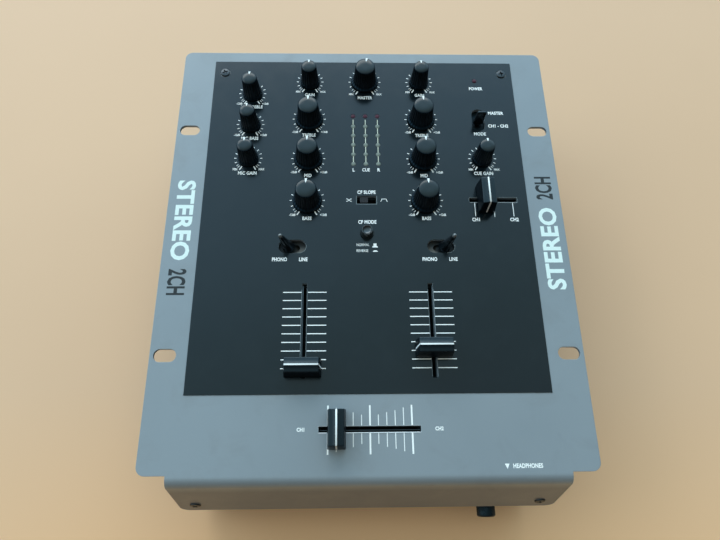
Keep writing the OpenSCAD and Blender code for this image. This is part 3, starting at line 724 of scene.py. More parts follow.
def fader_cap(node, length=19.4, turn=0, height=13.5, blade=(1.8, 5.0)):
    place = on_plate(node, turn)

    def end(z):
        """Half length at height z; the ends lean out towards the foot."""
        return length / 2 + 1.1 * (1 - min(1.0, max(0.0, (z - 1.2) / (height - 1.2))))

    # half section across the ridge, from the foot up: flank, small edge radius, low roof
    half = [(5.0, 1.22), (5.16, 1.32), (5.15, 1.7), (4.92, 4.6), (4.66, 7.5), (4.44, 10.2),
            (4.30, height - 1.5), (4.24, height - 1.22), (4.06, height - 1.04),
            (3.8, height - 0.96)]
    for i in range(1, 6):
        t = i / 6
        half.append((3.8 - 2.9 * t, height - 0.96 + 0.72 * t - 0.10 * sin(pi * t)))
    half += [(0.85, height - 0.2), (0.66, height - 0.09), (0.4, height - 0.06)]
    section = half + [(-y, z) for y, z in reversed(half)]
    n = len(section)
    points, faces = [], []
    for fraction, inset in CAP_STATIONS:
        for y, z in section:
            inset_y = copysign(max(0.0, abs(y) - inset), y)
            inset_z = z - (inset * 0.6 if z > height - 2 else 0)
            points.append((fraction * end(inset_z), inset_y, inset_z))
    last = (len(CAP_STATIONS) - 1) * n
    for i in range(0, last, n):
        for k in range(n):
            after = (k + 1) % n
            faces.append((i + after, i + k, i + n + k, i + n + after))
    faces.append(tuple(range(n)))
    faces.append(tuple(range(last + n - 1, last - 1, -1)))
    grip = Solid().add(points, faces, place).make(
        node + "_grip", "fader", node, "cap_plastic", sharp=28, replaces=(node,))
    # painted shade: the flanks take the darker, duller knob material, so they read darker than
    # the roof
    grip.data.materials.append(MATERIALS["knob"])
    for polygon in grip.data.polygons:
        if abs(polygon.normal.z) < 0.55:
            polygon.material_index = 1

    # white line along the ridge and down both ends
    right = [(end(z) + 0.03, z) for z in (1.75, 4.5, 8.0, height - 1.0, height - 0.35)]
    right.append((end(height) - 0.22, height - 0.03))
    outer = [(-x, z) for x, z in right] + [(0, height - 0.02)] + right[::-1]
    inner = [(copysign(max(0.0, abs(x) - LINE_DEPTH), x), z - 0.22 if z > height - 2 else z)
             for x, z in outer]
    n = len(outer)
    points = [(x, y, z) for path in (outer, inner)
              for y in (-LINE_HALF_WIDTH, LINE_HALF_WIDTH) for x, z in path]
    faces = []
    for i in range(n - 1):
        faces.append((i, i + 1, n + i + 1, n + i))
        faces.append((2 * n + i + 1, 2 * n + i, 3 * n + i, 3 * n + i + 1))
        faces.append((i + 1, i, 2 * n + i, 2 * n + i + 1))
        faces.append((n + i, n + i + 1, 3 * n + i + 1, 3 * n + i))
    faces.append((0, n, 3 * n, 2 * n))
    faces.append((2 * n - 1, n - 1, 3 * n - 1, 4 * n - 1))
    Solid().add(points, faces, place).make(
        node + "_line", "line", node, "cap_plastic", sharp=50)

    # steel blade under the cap
    Solid().rect(0, 0, *blade, bottom=-12, top=1.5, place=place).make(
        node + "_blade", "steel", node, "cap_plastic", bevel=0.15)


fader_cap("ch1_fader_cap")
fader_cap("ch2_fader_cap")
fader_cap("crossfader_cap", turn=90)
fader_cap("cue_fader_cap", length=18.0, turn=90, height=14.0, blade=(1.6, 4.0))

# ---------------------------------------------------------------- levers, slider, button

# profiles: radius, height above the pivot (above the plate for the button)
BAT_PROFILE = [
    (0, 8.2), (1.75, 8.2), (1.8, 10.2), (3.3, 10.5), (3.85, 10.9), (3.95, 11.5), (3.75, 12.2),
    (3.35, 13.4), (3.0, 15.0), (2.75, 17.0), (2.5, 19.0), (2.2, 21.5), (1.9, 24.0),
    (1.62, 26.4), (1.42, 28.2)]
TIP_PROFILE = [(1.36, 28.2), (1.36, 28.7), (1.28, 29.3), (1.08, 29.8), (0.76, 30.15),
               (0.38, 30.33), (0, 30.38)]
PIN_PROFILE = [(0, -5.9), (1.45, -5.9), (1.6, -5.75), (1.6, 5.75), (1.45, 5.9), (0, 5.9)]
BUTTON_PROFILE = [
    (0, -2.0), (3.9, -2.0), (4.0, -1.8), (4.0, 1.4), (3.95, 1.9), (3.72, 3.6), (3.5, 5.0),
    (3.42, 5.5), (3.33, 5.8), (3.2, 5.97), (3.05, 5.97), (2.9, 5.85), (2.7, 5.5), (2.4, 5.12),
    (1.9, 4.82), (1.3, 4.66), (0.6, 4.6), (0, 4.58)]
# paddle sections: height above the pivot, half width, half thickness
PADDLE_SECTIONS = [
    (10.7, 3.3, 1.3), (11.0, 3.5, 1.45), (13.0, 3.42, 1.45), (16.0, 3.25, 1.38),
    (19.0, 3.15, 1.28), (22.0, 3.08, 1.15), (23.5, 3.02, 0.98), (24.15, 2.85, 0.72),
    (24.38, 2.55, 0.4)]
PADDLE_SEGMENTS = 24
PADDLE_ROUNDNESS = 0.45     # power of the rounded rectangle: 1 would be an ellipse


def pivot(joint):
    match = [j for j in frame["joints"] if j["name"] == joint][0]
    return Matrix.Translation([c / MM for c in match["pos_m"]])


def dust_sheet(node, place, look):
    """Curved sheet that rides under the slot of a lever switch."""
    steps = 28
    points, faces = [], []
    for i in range(steps + 1):
        angle = radians(-41 + 82 * i / steps)
        for radius in (7.25, 6.9):
            for y in (-3.7, 3.7):
                points.append((radius * sin(angle), y, radius * cos(angle)))
    for i in range(0, steps * 4, 4):
        j = i + 4
        faces += [(i, i + 1, j + 1, j), (i + 2, j + 2, j + 3, i + 3),
                  (i, j, j + 2, i + 2), (i + 1, i + 3, j + 3, j + 1)]
    end = steps * 4
    faces += [(0, 2, 3, 1), (end, end + 1, end + 3, end + 2)]
    Solid().add(points, faces, place).make(
        node + "_dust_sheet", look, node, "lever_plastic", sharp=40)


def pivot_pin(node, joint, axis, sharp):
    place = pivot(joint) @ Matrix.Rotation(radians(90), 4, axis)
    Solid().lathe(PIN_PROFILE, 32, place).make(
        node + "_pin", "steel", node, "lever_plastic", sharp=sharp)


def bat_lever(node, joint, tilt):
    """Round tapered lever, tilted left or right."""
    place = pivot(joint) @ Matrix.Rotation(radians(tilt), 4, "Y")
    Solid().lathe(BAT_PROFILE, 48, place).make(
        node + "_bat", "lever", node, "lever_plastic", sharp=50, replaces=(node,))
    Solid().lathe(TIP_PROFILE, 40, place).make(
        node + "_tip", "tip", node, "lever_plastic", sharp=60)
    pivot_pin(node, joint, "X", sharp=40)
    dust_sheet(node, place, "switch")


def mode_paddle():
    """Flat paddle of the mode switch."""
    place = pivot("mode_tilt") @ Matrix.Rotation(radians(5), 4, "X")
    count = PADDLE_SEGMENTS
    points, faces = [], []
    for z, half_width, half_depth in PADDLE_SECTIONS:
        for k in range(count):
            angle = 2 * pi * k / count
            c, s = cos(angle), sin(angle)
            points.append((half_width * copysign(abs(c) ** PADDLE_ROUNDNESS, c),
                           half_depth * copysign(abs(s) ** PADDLE_ROUNDNESS, s), z))
    last = (len(PADDLE_SECTIONS) - 1) * count
    for i in range(0, last, count):
        for k in range(count):
            after = (k + 1) % count
            faces.append((i + k, i + after, i + count + after, i + count + k))
    faces.append(tuple(range(count - 1, -1, -1)))
    faces.append(tuple(range(last, last + count)))
    paddle = Solid().add(points, faces, place)
    paddle.lathe([(0, 8.2), (1.7, 8.2), (1.75, 10.8), (0, 10.8)], 32, place)
    paddle.make("mode_lever_paddle", "lever", "mode_lever", "lever_plastic", sharp=45,
                replaces=("mode_lever",))
    pivot_pin("mode_lever", "mode_tilt", "Y", sharp=38)
    dust_sheet("mode_lever", place @ Matrix.Rotation(radians(90), 4, "Z"), "switch_dark")


def slope_slider():
    """Slider with a grip of five ridges and a stem."""
    x, y, _ = centre("slope_slider")
    grip = Solid().rect(x, y + 0.3, 5.1, 4.0, PLATE_Z - 2.45, PLATE_Z - 0.55)
    for i in range(5):
        grip.rect(x - 2.1 + i * 1.05, y + 0.3, 0.6, 3.9, PLATE_Z - 0.6, PLATE_Z + 0.12)
    grip.rect(x, y, 3.9, 2.7, PLATE_Z - 12, PLATE_Z - 2.4)
    grip.make("slope_slider_grip", "slider", "slope_slider", "lever_plastic", bevel=0.1,
              replaces=("slope_slider",))


def mode_button():
    """Dished push button on a stem."""
    place = on_plate("mode_button")
    button = Solid().lathe(BUTTON_PROFILE, 72, place)
    button.lathe([(0, -12), (2.4, -12), (2.45, -1.9), (0, -1.9)], 32, place)
    button.make("mode_button_cap", "button", "mode_button", "lever_plastic", sharp=55,
                replaces=("mode_button",))


bat_lever("source_lever_left", "source_left_tilt", tilt=-11.3)
bat_lever("source_lever_right", "source_right_tilt", tilt=11.3)
mode_paddle()
slope_slider()
mode_button()

# ---------------------------------------------------------------- screws with a cross recess

SHANK_RADIUS = 1.45
HEAD_RADIUS = 3.15          # plate and fold screws
HEAD_TO_BOX = 3.2           # screw centre to the side of the CAD box
FOLD = radians(90 - 72.5)   # lean of the front fold from upright
FOLD_Y, FOLD_Z = -149.222, PLATE_Z - 4.196      # point on the outer face of the fold
FOLD_SCREW_Z = PLATE_Z - 32.0


def cross_depth(x, y, radius):
    """Depth of the cross recess at a point of the head, 0 to 1."""
    width = 0.085 * radius + 0.16
    arm = 0.62 * radius
    depth = 0.0
    for along, across in ((abs(x), abs(y)), (abs(y), abs(x))):
        if along < arm:
            side = max(0.0, 1 - across / (width * (1.25 - 0.5 * along / arm)))
            depth = max(depth, min(1.0, side * 3) * min(1.0, (arm - along) / (0.22 * radius)))
    return depth


def screw(solid, place, radius, height, shank, dome=0.35):
    segments, rings = 72, 26
    angles = [2 * pi * k / segments for k in range(segments)]
    points = [(0, 0, height + dome - 0.75)]
    for i in range(1, rings + 1):
        r = radius * 0.93 * i / rings
        for angle in angles:
            x, y = r * cos(angle), r * sin(angle)
            z = height + dome * (1 - (r / radius) ** 2) - 0.9 * cross_depth(x, y, radius)
            points.append((x, y, z))
    rim = [(radius * 0.985, height - 0.14), (radius, height - 0.4), (radius, 0.06),
           (radius * 0.98, 0.0), (SHANK_RADIUS, 0.0), (SHANK_RADIUS, -shank)]
    points += [(r * cos(angle), r * sin(angle), z) for r, z in rim for angle in angles]
    total = rings + len(rim)
    faces = [(0, 1 + k, 1 + (k + 1) % segments) for k in range(segments)]
    faces += ring_faces(total, segments, first=1)
    faces.append(tuple(range(total * segments, (total - 1) * segments, -1)))
    solid.add(points, faces, place)


def plate_screws():
    low, high = box_mm("plate_screws")
    solid = Solid()
    for side, turn in ((-1, 24), (1, 12)):
        place = at(side * (high[0] - HEAD_TO_BOX), (low[1] + high[1]) / 2, PLATE_Z, turn)
        screw(solid, place, HEAD_RADIUS, height=0.95, shank=7.3, dome=0.3)
    return solid


def fold_screws():
    """Screws square to the leaning front fold."""
    x = box_mm("flange_screws")[1][0] - HEAD_TO_BOX
    y = FOLD_Y - (FOLD_Z - FOLD_SCREW_Z) * tan(FOLD)
    solid = Solid()
    for side, turn in ((-1, 35), (1, 20)):
        place = (Matrix.Translation((side * x, y, FOLD_SCREW_Z))
                 @ Matrix.Rotation(radians(90) - FOLD, 4, "X") @ at(0, 0, turn=turn))
        screw(solid, place, HEAD_RADIUS, height=0.8, shank=6.8, dome=0.3)
    return solid


def rear_screws():
    low, high = box_mm("rear_screws")
    solid = Solid()
    for x in (-90, 0, 90):
        place = (Matrix.Translation((x, high[1] - 1.7, (low[2] + high[2]) / 2))
                 @ Matrix.Rotation(radians(-90), 4, "X") @ at(0, 0, turn=30 + x))
        screw(solid, place, radius=2.85, height=1.1, shank=5.8)
    return solid


for node, build in (("plate_screws", plate_screws), ("flange_screws", fold_screws),
                    ("rear_screws", rear_screws)):
    build().make(node + "_cross", "screw_dark", "chassis", "black_screw", sharp=40,
                 replaces=(node,))

# ---------------------------------------------------------------- lamps

LAMP_X, LAMP_PITCH_X = 0.3, 8.3         # middle column, column pitch
LAMP_Y, LAMP_PITCH_Y = 50.95, 7.38      # front row, row pitch
PALE_ROWS = 5
RED_GAP = 0.85                          # extra step before the red row
LAMP_COLUMNS = [LAMP_X + i * LAMP_PITCH_X for i in (-1, 0, 1)]
LAMP_ROWS = [LAMP_Y + j * LAMP_PITCH_Y for j in range(PALE_ROWS)]
# radius, height above the plate
LEVEL_LAMP = [(1.5, -3.0), (1.5, 0.18), (1.44, 0.34), (1.28, 0.46), (0.95, 0.55), (0.5, 0.60),
              (0, 0.61)]
POWER_LAMP = [(1.5, -3.0), (1.5, 0.2), (1.42, 0.5), (1.2, 0.75), (0.85, 0.9), (0.45, 0.98),
              (0, 1.0)]


def level_lamps(rows):
    lamps = Solid()
    for x in LAMP_COLUMNS:
        for y in rows:
            lamps.lathe(LEVEL_LAMP, 36, at(x, y, PLATE_Z))
    return lamps


level_lamps(LAMP_ROWS).make("level_lamps", "lamp", "chassis", "lamp_pale", sharp=60,
                            replaces=("green_leds",))
level_lamps([LAMP_Y + PALE_ROWS * LAMP_PITCH_Y + RED_GAP]).make(
    "level_lamps_red", "red", "chassis", "lamp_red", sharp=60, replaces=("red_leds",))
Solid().lathe(POWER_LAMP, 36, on_plate("power_led")).make(
    "power_lamp", "red", "chassis", "lamp_red", sharp=60, replaces=("power_led",))

# ---------------------------------------------------------------- fader slots

CROSS_Y = centre("crossfader_body")[1]
LEFT_SLOT_X = centre("channel_fader_left")[0]
RIGHT_SLOT_X = centre("channel_fader_right")[0]
CUE_SLOT_X, CUE_SLOT_Y = 82.8, 24.2


def slot_lip(solid, slot_x, slot_y, width, depth, surface, band, drop, rise):
    """Rim of a slot: a low bead outside, a bevel down and the cut edge of the sheet."""
    profile = [     # distance out from the slot, height over the surface
        (band, 0.0), (band - 0.04, rise * 0.7), (band - 0.10, rise),
        (band * 0.5, rise - 0.45 * (rise + drop)), (0.03, -drop), (-0.03, -drop - 0.1),
        (-0.05, -drop - 0.25), (-0.05, -1.25)]
    points = []
    for out, height in profile:
        corner = 0.3 + max(0.0, out)
        for i, j, start in ((1, 1, 0), (-1, 1, 90), (-1, -1, 180), (1, -1, 270)):
            for k in range(5):
                angle = radians(start + 22.5 * k)
                points.append((slot_x + i * (width / 2 + out - corner) + corner * cos(angle),
                               slot_y + j * (depth / 2 + out - corner) + corner * sin(angle),
                               surface + height))
    solid.add(points, ring_faces(len(profile), 4 * 5))


def front_bead(solid, slot_x, half, inner_y, outer_y, surface, rise):
    """Low ridge along the front side of a slot."""
    left, right = slot_x - half, slot_x + half
    crest = outer_y + 0.05
    points = [(left, inner_y, surface - 0.01), (right, inner_y, surface - 0.01),
              (right, crest, surface + rise), (left, crest, surface + rise),
              (left, outer_y, surface), (right, outer_y, surface)]
    solid.add(points, [(0, 1, 2, 3), (3, 2, 5, 4), (4, 5, 1, 0), (0, 3, 4), (1, 5, 2)])


def slot_lips():
    # both lips are coloured pale as painted highlights along the slot rims
    cue = Solid()
    slot_lip(cue, CUE_SLOT_X, CUE_SLOT_Y, width=31.2, depth=3.1, surface=PANEL_Z, band=0.28,
             drop=0.10, rise=0.05)
    front_bead(cue, CUE_SLOT_X, 15.4, CUE_SLOT_Y - 1.85, CUE_SLOT_Y - 2.15, PANEL_Z, rise=0.10)
    cue.make("slot_lips_overlay", "lip", "chassis", "panel_overlay", sharp=35)
    cross = Solid()
    slot_lip(cross, 0.0, CROSS_Y, width=57.4, depth=3.2, surface=PLATE_Z, band=0.34,
             drop=0.09, rise=0.07)
    front_bead(cross, 0.0, 28.5, CROSS_Y - 1.66, CROSS_Y - 2.12, PLATE_Z, rise=0.19)
    cross.make("slot_lip_plate", "lip_plate", "chassis", "plate_paint", sharp=35)


def fader_guides():
    """Thin strips seen down in the channel and crossfader slots."""
    guides = Solid()
    guides.rect(LEFT_SLOT_X - 1.02, -62.0, 0.62, 56.6, PLATE_Z - 3.4, PLATE_Z - 1.7)
    guides.rect(RIGHT_SLOT_X + 1.16, -62.0, 0.46, 56.6, PLATE_Z - 3.4, PLATE_Z - 1.7)
    guides.rect(0.0, CROSS_Y - 0.35, 56.4, 0.34, PLATE_Z - 3.6, PLATE_Z - 2.0)
    guides.make("fader_guides", "guide", "chassis", "fader_steel", bevel=0.06)


def headphone_nut():
    """Ring nut with a knurled rim, facing forward."""
    low, high = box_mm("headphone_nut")
    length = high[1] - low[1]
    profile = [     # radius, distance forward from the seat
        (4.8, 0.0), (5.55, 0.0), (5.76, 0.12), (5.76, length - 0.95), (5.62, length - 0.62),
        (5.3, length - 0.18), (5.12, length - 0.03), (4.95, length - 0.08),
        (4.82, length - 0.4), (4.8, length - 1.0), (4.8, 0.0)]

    def knurl(angle, i, radius):
        return radius - (0.13 * abs(sin(24 * angle)) if i in (2, 3) else 0.0)

    seat = Matrix.Translation(((low[0] + high[0]) / 2, high[1], (low[2] + high[2]) / 2))
    Solid().lathe(profile, 240, seat @ Matrix.Rotation(radians(90), 4, "X"), knurl,
                  closed=False).make("headphone_ring_nut", "socket", "chassis",
                                     "socket_plastic", sharp=40, replaces=("headphone_nut",))


slot_lips()
fader_guides()
headphone_nut()

# ---------------------------------------------------------------- printed scales

SOURCE_X = 46.7             # source levers, either side of the middle
CUE_X = centre("cue_fader_body")[0]
# the three marks at each end of a knob scale: angle, length, width, extra radius
END_MARKS = [(128, 1.5, 0.36, 0), (137, 1.8, 0.36, 0.1), (148.5, 2.9, 0.78, 0.15)]
CURVE_MARKS = [             # x, y along the small curves beside the slope switch
    [(-12.75, 24.85), (-12.1, 24.75), (-10.1, 23.15), (-9.45, 23.05)],
    [(-12.75, 23.05), (-12.1, 23.15), (-10.1, 24.75), (-9.45, 24.85)],
    [(9.55, 23.0), (10.25, 24.75), (12.95, 24.75), (13.65, 23.0)]]
# rear and front ends of the crossfader marks, from the middle mark outward
CROSS_MARKS = [(-106.1, -132.6), (-111.3, -127.1), (-110.0, -128.7), (-109.0, -129.8),
               (-107.5, -131.1), (-106.1, -132.6)]


def knob_scale(solid, name, large):
    x, y, _ = centre(name + "_knob")
    radius, length = (10.58, 1.35) if large else (8.6, 1.45)
    marks = [(i * 22.5, length, 0.54, 0) for i in range(-5, 6)]
    marks += [(side * angle, *rest) for side in (-1, 1) for angle, *rest in END_MARKS]
    for angle, long, width, extra in marks:
        theta = radians(90 - angle)
        solid.mark(x + (radius + extra) * cos(theta), y + (radius + extra) * sin(theta),
                   long, width, degrees(theta))


def white_marks():
    white = Solid()
    for name, large, *_ in KNOBS:
        knob_scale(white, name, large)
    # channel fader scales
    for side in (-1, 1):
        for k in range(10):
            for hand in (-1, 1):
                white.mark(side * 38.2 + 0.15 + hand * 7.5, -38.8 - 5.15 * k, 11.3, 0.54)
    # cue fader marks
    for x, rear, front in ((CUE_X - 12.4, 22.3, 12.4), (CUE_X, 16.6, 12.0),
                           (CUE_X + 12.4, 22.3, 12.4)):
        white.mark(x, (rear + front) / 2, 0.46, rear - front)
    for curve in CURVE_MARKS:
        for (x0, y0), (x1, y1) in zip(curve, curve[1:]):
            white.mark((x0 + x1) / 2, (y0 + y1) / 2, hypot(x1 - x0, y1 - y0) + 0.3, 0.38,
                       degrees(atan2(y1 - y0, x1 - x0)), lift=0.0004 * (y0 + x1))
    # button position symbols
    white.mark(5.1, -7.65, 2.0, 2.1)
    white.mark(5.1, -8.95, 3.5, 0.8, lift=0.001)
    white.mark(5.25, -12.0, 3.1, 0.55)
    white.mark(5.25, -11.55, 1.8, 0.5, lift=0.001)
    return white


def lamp_links():
    """Lines between the lamps of each column."""
    warm = Solid()
    for x in LAMP_COLUMNS:
        for row in LAMP_ROWS:
            low = row + 1.4
            high = 85.7 if row == LAMP_ROWS[-1] else row + LAMP_PITCH_Y - 1.4
            warm.mark(x, (low + high) / 2, 0.46, high - low + 0.3)
    return warm


def painted_edge_highlights():
    """Painted highlights on the frame round the slope switch window and on the cut edges of the
    channel slots.
    """
    faint = Solid()
    window_x, window_y, _ = centre("slope_switch_body")
    for x, y, width, depth in ((0, -3.05, 13.5, 0.42), (-6.6, 0.1, 0.36, 5.9),
                               (6.6, 0.1, 0.36, 5.9)):
        faint.mark(window_x + x, window_y + y, width, depth)
    for slot_x, side, width in ((LEFT_SLOT_X, -1, 0.26), (LEFT_SLOT_X, 1, 0.22),
                                (RIGHT_SLOT_X, -1, 0.20), (RIGHT_SLOT_X, 1, 0.30)):
        faint.mark(slot_x + side * (1.5 + 0.05 + width / 2), -63.6, width, 53.0)
    return faint


def painted_opening_highlights():
    """Painted highlight round the right end of the lever openings, drawn as a bright cut edge.
    """
    edges = Solid()
    for x in (-SOURCE_X, SOURCE_X):
        for i in range(14):
            angle = radians(-96 + 8 * i)
            edges.mark(x + 4.25 + 4.52 * cos(angle), -8.5 + 4.52 * sin(angle), 0.22, 0.70,
                       degrees(angle))
    return edges


def plate_marks():
    """Crossfader scale and the small arrow near the headphone socket."""
    marks = Solid()
    for k in range(-5, 6):
        rear, front = CROSS_MARKS[abs(k)]
        width = 0.92 if abs(k) in (0, 5) else 0.42
        for start, end in ((rear, CROSS_Y + 2.0), (CROSS_Y - 2.0, front)):
            marks.mark(0.1 + 4.72 * k, (start + end) / 2, width, abs(start - end),
                       surface=PLATE_Z)
    marks.prism([(75.0, -140.9), (76.3, -138.2), (73.7, -138.2)], PLATE_Z + 0.004,
                PLATE_Z + 0.03)
    return marks


for name, look, build, slot in (
        ("lever_opening_painted_highlights", "lip", painted_opening_highlights, "panel_overlay"),
        ("window_frame_painted_highlight", "painted_highlight_grey", painted_edge_highlights, "panel_overlay"),
        ("level_scale_print", "ink_warm", lamp_links, "panel_overlay"),
        ("overlay_scales", "ink", white_marks, "panel_overlay"),
        ("plate_scales", "ink_plate", plate_marks, "plate_paint")):
    build().make(name, look, "chassis", slot, sharp=30)

# ---------------------------------------------------------------- lettering

CAPITAL_SHARE = 0.71        # capital height over font size
SIDE_X = 78                 # knob columns at the sides
# shifts of the range words left and right of the knob, and their squeeze
RANGE_LAYOUT = {(True, LEVEL): (8.0, 8.0, 0.74), (False, LEVEL): (6.7, 7.2, 0.74),
                (True, TONE): (7.3, 8.2, 0.72), (False, TONE): (6.7, 6.9, 0.72)}


def label(name, text, x, y, height, surface, weight, squeeze, turn=0.0, align="CENTER",
          look="ink", slot="panel_overlay"):
    """Plain lettering; height is that of a capital."""
    curve = bpy.data.curves.new(name, "FONT")
    curve.body = text
    curve.align_x = align
    curve.align_y = "CENTER"
    curve.size = height * MM / CAPITAL_SHARE
    curve.offset = weight * MM
    curve.extrude = 0.012 * MM
    curve.space_character = 1.04
    curve.resolution_u = 3
    ob = bpy.data.objects.new(name, curve)
    scene.collection.objects.link(ob)
    ob.location = (x * MM, y * MM, (surface + 0.014) * MM)
    ob.rotation_euler = (0, 0, radians(turn))
    ob.scale = (squeeze, 1, 1)
    curve.materials.append(MATERIALS[look])
    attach(ob, "chassis")


def caption(text, x, y, height=2.4, surface=PANEL_Z, weight=0.11, squeeze=0.86, **style):
    """Label named after its text and a running number."""
    word = text.lower().replace(" ", "_").replace("+", "p").replace("-", "m")
    name = "print_%s_%d" % (word, len(bpy.data.curves))
    label(name, text, x, y, height, surface, weight, squeeze, **style)


for name, large, _, title, words, title_drop in KNOBS:
    x, y, _ = centre(name + "_knob")
    caption(title, x, y - title_drop, squeeze=0.80)
    left, right, squeeze = RANGE_LAYOUT[large, words]
    word_y = y - (10.4 if large else 8.45)
    caption(words[0], x - left, word_y, 1.6, align="RIGHT", weight=0.075, squeeze=squeeze)
    caption(words[1], x + right, word_y, 1.6, align="LEFT", weight=0.075, squeeze=squeeze)
caption("POWER", SIDE_X + 0.6, 112.2, squeeze=0.78)
caption("L", LAMP_COLUMNS[0], 46.3)
caption("CUE", LAMP_X, 46.3, squeeze=0.78, weight=0.07)
caption("R", LAMP_COLUMNS[2], 46.3)
caption("CF SLOPE", 0.3, 29.6, squeeze=0.80)
caption("CF MODE", 0.5, 8.2, squeeze=0.78)
caption("NORMAL", -6.6, -7.6, 1.75, align="LEFT", squeeze=0.78, weight=0.02)
caption("REVERSE", -6.6, -11.6, 1.75, align="LEFT", squeeze=0.78, weight=0.02)
caption("MASTER", 85.5, 91.6, align="LEFT", squeeze=0.84)
caption("CH1 - CH2", 84.7, 81.1, align="LEFT", squeeze=0.84)
caption("MODE", SIDE_X + 0.5, 74.6, squeeze=0.84)
for side in (-1, 1):
    caption("PHONO", side * SOURCE_X - 7.6, -17.4, squeeze=0.74)
    caption("LINE", side * SOURCE_X + 7.1, -17.4, squeeze=0.76)
caption("CH1", CUE_X - 12.2, 9.9, squeeze=0.82)
caption("CH2", CUE_X + 12.4, 9.9, squeeze=0.84)
ON_PLATE = dict(surface=PLATE_Z, look="ink_plate", slot="plate_paint")
caption("CH1", -38.5, -119.3, 2.0, squeeze=0.84, **ON_PLATE)
caption("CH2", 38.9, -119.3, 2.0, squeeze=0.84, **ON_PLATE)
caption("HEADPHONES", 78.2, -139.5, 2.3, align="LEFT", squeeze=0.77, **ON_PLATE)
# large words up the left and right margins of the plate
for side, x, word_y, count_y, turn in (("left", -116.8, 10.4, -31.9, -90),
                                       ("right", 117.6, -9.4, 33.3, 90)):
    label("ear_%s_word" % side, "STEREO", x, word_y, 10.8, PLATE_Z, turn=turn, look="ink_ear",
          weight=0.5, slot="plate_paint", squeeze=1.03)
    label("ear_%s_count" % side, "2CH", x, count_y, 10.4, PLATE_Z, turn=turn, look="ink_dark",
          weight=0.42, slot="plate_paint", squeeze=0.60)

# ---------------------------------------------------------------- floor, light, camera

FLOOR_HALF = 3.0            # metres


def floor_material():
    mat = Shader("floor_warm_white")
    mat.base(mat.noise(scale=3.0, detail=4.0, rough=0.5), (0.725, 0.462, 0.280),
             (0.765, 0.490, 0.298))
    x, y, _ = mat.axes(mat.coords)
    # painted light: warmer and deeper in front of the mixer, where its shadow falls, fading out
    # again around it
    near = mat.times(mat.remap(y, span=(-0.24, -0.08), to=(1.0, 0.0)),
                     mat.remap(mat.math("ABSOLUTE", x, 0.0), span=(0.10, 0.42),
                               to=(1.0, 0.25)))
    near = mat.times(near, mat.remap(y, span=(-1.0, -0.4), to=(0.35, 1.0)))
    mat.paint(near, (0.86, 0.482, 0.225))
    mat.bump(mat.noise(scale=800.0), strength=0.1, distance=0.0001)
    return mat.finish(rough=0.55)


def make_floor():
    material = floor_material()
    mesh = bpy.data.meshes.new("floor")
    corners = [(i * FLOOR_HALF, j * FLOOR_HALF, 0)
               for i, j in ((-1, -1), (1, -1), (1, 1), (-1, 1))]
    mesh.from_pydata(corners, [], [(0, 1, 2, 3)])
    floor = bpy.data.objects.new("floor", mesh)
    scene.collection.objects.link(floor)
    mesh.materials.append(material)


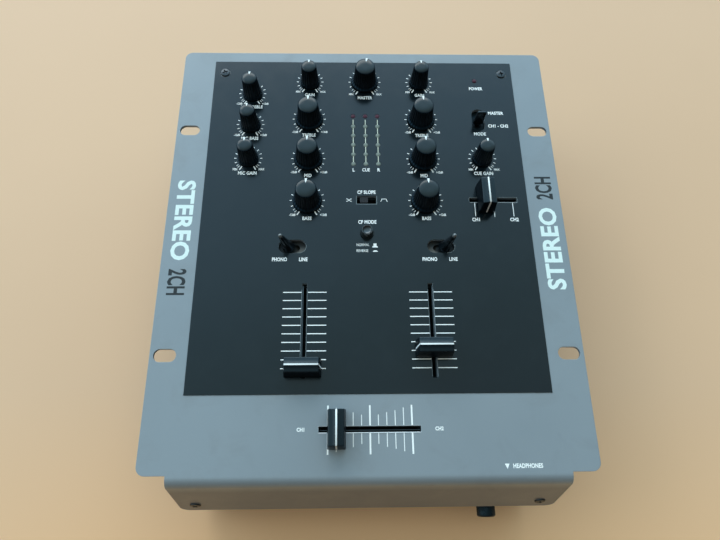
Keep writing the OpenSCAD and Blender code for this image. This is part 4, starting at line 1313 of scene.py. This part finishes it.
def make_world():
    """Backdrop that brightens from the front (-y) to the rear."""
    world = bpy.data.worlds.new("studio")
    scene.world = world
    world.use_nodes = True
    sky = Nodes(world.node_tree)
    output = sky.node("ShaderNodeOutputWorld")
    background = sky.node("ShaderNodeBackground")
    x, y, z = sky.axes(sky.node("ShaderNodeTexCoord").outputs["Generated"])
    # 0 in front, 1 behind, skewed a little across x except far to the rear
    rearward = sky.math("ADD", sky.times(y, 0.5), 0.5)
    skew = sky.times(sky.math("SUBTRACT", 0.84, rearward), 6.0)
    skew = sky.math("MINIMUM", sky.math("MAXIMUM", skew, 0.12), 1.0)
    ramp = sky.node("ShaderNodeValToRGB")
    sky.link(sky.math("SUBTRACT", rearward, sky.times(sky.times(x, skew), 0.16)),
             ramp.inputs[0])
    stops = ramp.color_ramp.elements
    stops[0].position = 0.0
    stops[0].color = (0.085, 0.085, 0.085, 1)
    stops[1].position = 1.0
    stops[1].color = (1.50, 2.10, 2.50, 1)
    for position, colour in ((0.30, (0.15, 0.175, 0.19, 1)), (0.5, (0.44, 0.61, 0.66, 1)),
                             (0.62, (0.52, 0.81, 0.91, 1)), (0.80, (0.93, 1.52, 1.98, 1))):
        stops.new(position).color = colour

    def below_half(value, gain):
        under = sky.math("MAXIMUM", sky.math("SUBTRACT", 0.50, value), 0.0)
        return sky.math("MINIMUM", sky.times(under, gain), 1.0)

    # warm band low in front: the room behind the camera and the table running on
    warm = sky.times(below_half(z, gain=2.6), below_half(rearward, gain=4.0))
    room = sky.mix(warm, ramp.outputs[0], (0.19, 0.11, 0.06))
    # seen straight on, the backdrop is a plain pale grey
    seen = sky.node("ShaderNodeLightPath").outputs["Is Camera Ray"]
    sky.link(sky.mix(seen, room, (0.70, 0.68, 0.64)), background.inputs[0])
    background.inputs[1].default_value = 1.0
    sky.link(background.outputs[0], output.inputs[0])


def area_light(name, place, aim, size, power, colour):
    """Rectangular light; place, aim and size in metres, power in watts."""
    light = bpy.data.lights.new(name, "AREA")
    light.shape = "RECTANGLE"
    light.size, light.size_y = size
    light.energy = power
    light.color = colour
    ob = bpy.data.objects.new(name, light)
    scene.collection.objects.link(ob)
    ob.location = place
    toward = Vector(aim) - Vector(place)
    ob.rotation_euler = toward.to_track_quat("-Z", "Y").to_euler()
    return ob


def make_camera():
    data = bpy.data.cameras.new("camera")
    camera = bpy.data.objects.new("camera", data)
    scene.collection.objects.link(camera)
    data.sensor_fit = "HORIZONTAL"
    data.sensor_width = 36.0
    data.lens = 28.1588
    data.clip_start = 0.01
    data.clip_end = 20
    # directions of the view in the scene
    right = Vector((0.999676, -0.011323, 0.022814))
    down = Vector((-0.002472, -0.934643, -0.355578))
    forward = Vector((0.025349, 0.355406, -0.934368))
    turn = Matrix((right, -down, -forward)).transposed().to_4x4()
    place = (-13.299 * MM, -147.801 * MM, (324.684 + PLATE_Z) * MM)
    camera.matrix_world = Matrix.Translation(place) @ turn
    scene.camera = camera


make_floor()
make_world()
area_light("window_back", place=(-0.8, 3.3, 2.15), aim=(0, 0, 0.05), size=(4.2, 1.7),
           power=62, colour=(1.0, 0.98, 0.93))
area_light("soft_left", place=(-3.2, 0.5, 2.6), aim=(0, 0, 0.05), size=(2.4, 1.8),
           power=20, colour=(0.95, 0.97, 1.0))
# warm bounce from above: lights surfaces but is never mirrored in the panel
bounce = area_light("room_bounce", place=(0.2, -0.5, 3.0), aim=(0, -0.1, 0), size=(2.6, 2.6),
                    power=12.5, colour=(1.0, 0.80, 0.40))
bounce.visible_glossy = False
make_camera()
scene.view_settings.view_transform = "Standard"
scene.view_settings.look = "None"
scene.view_settings.exposure = 0.0
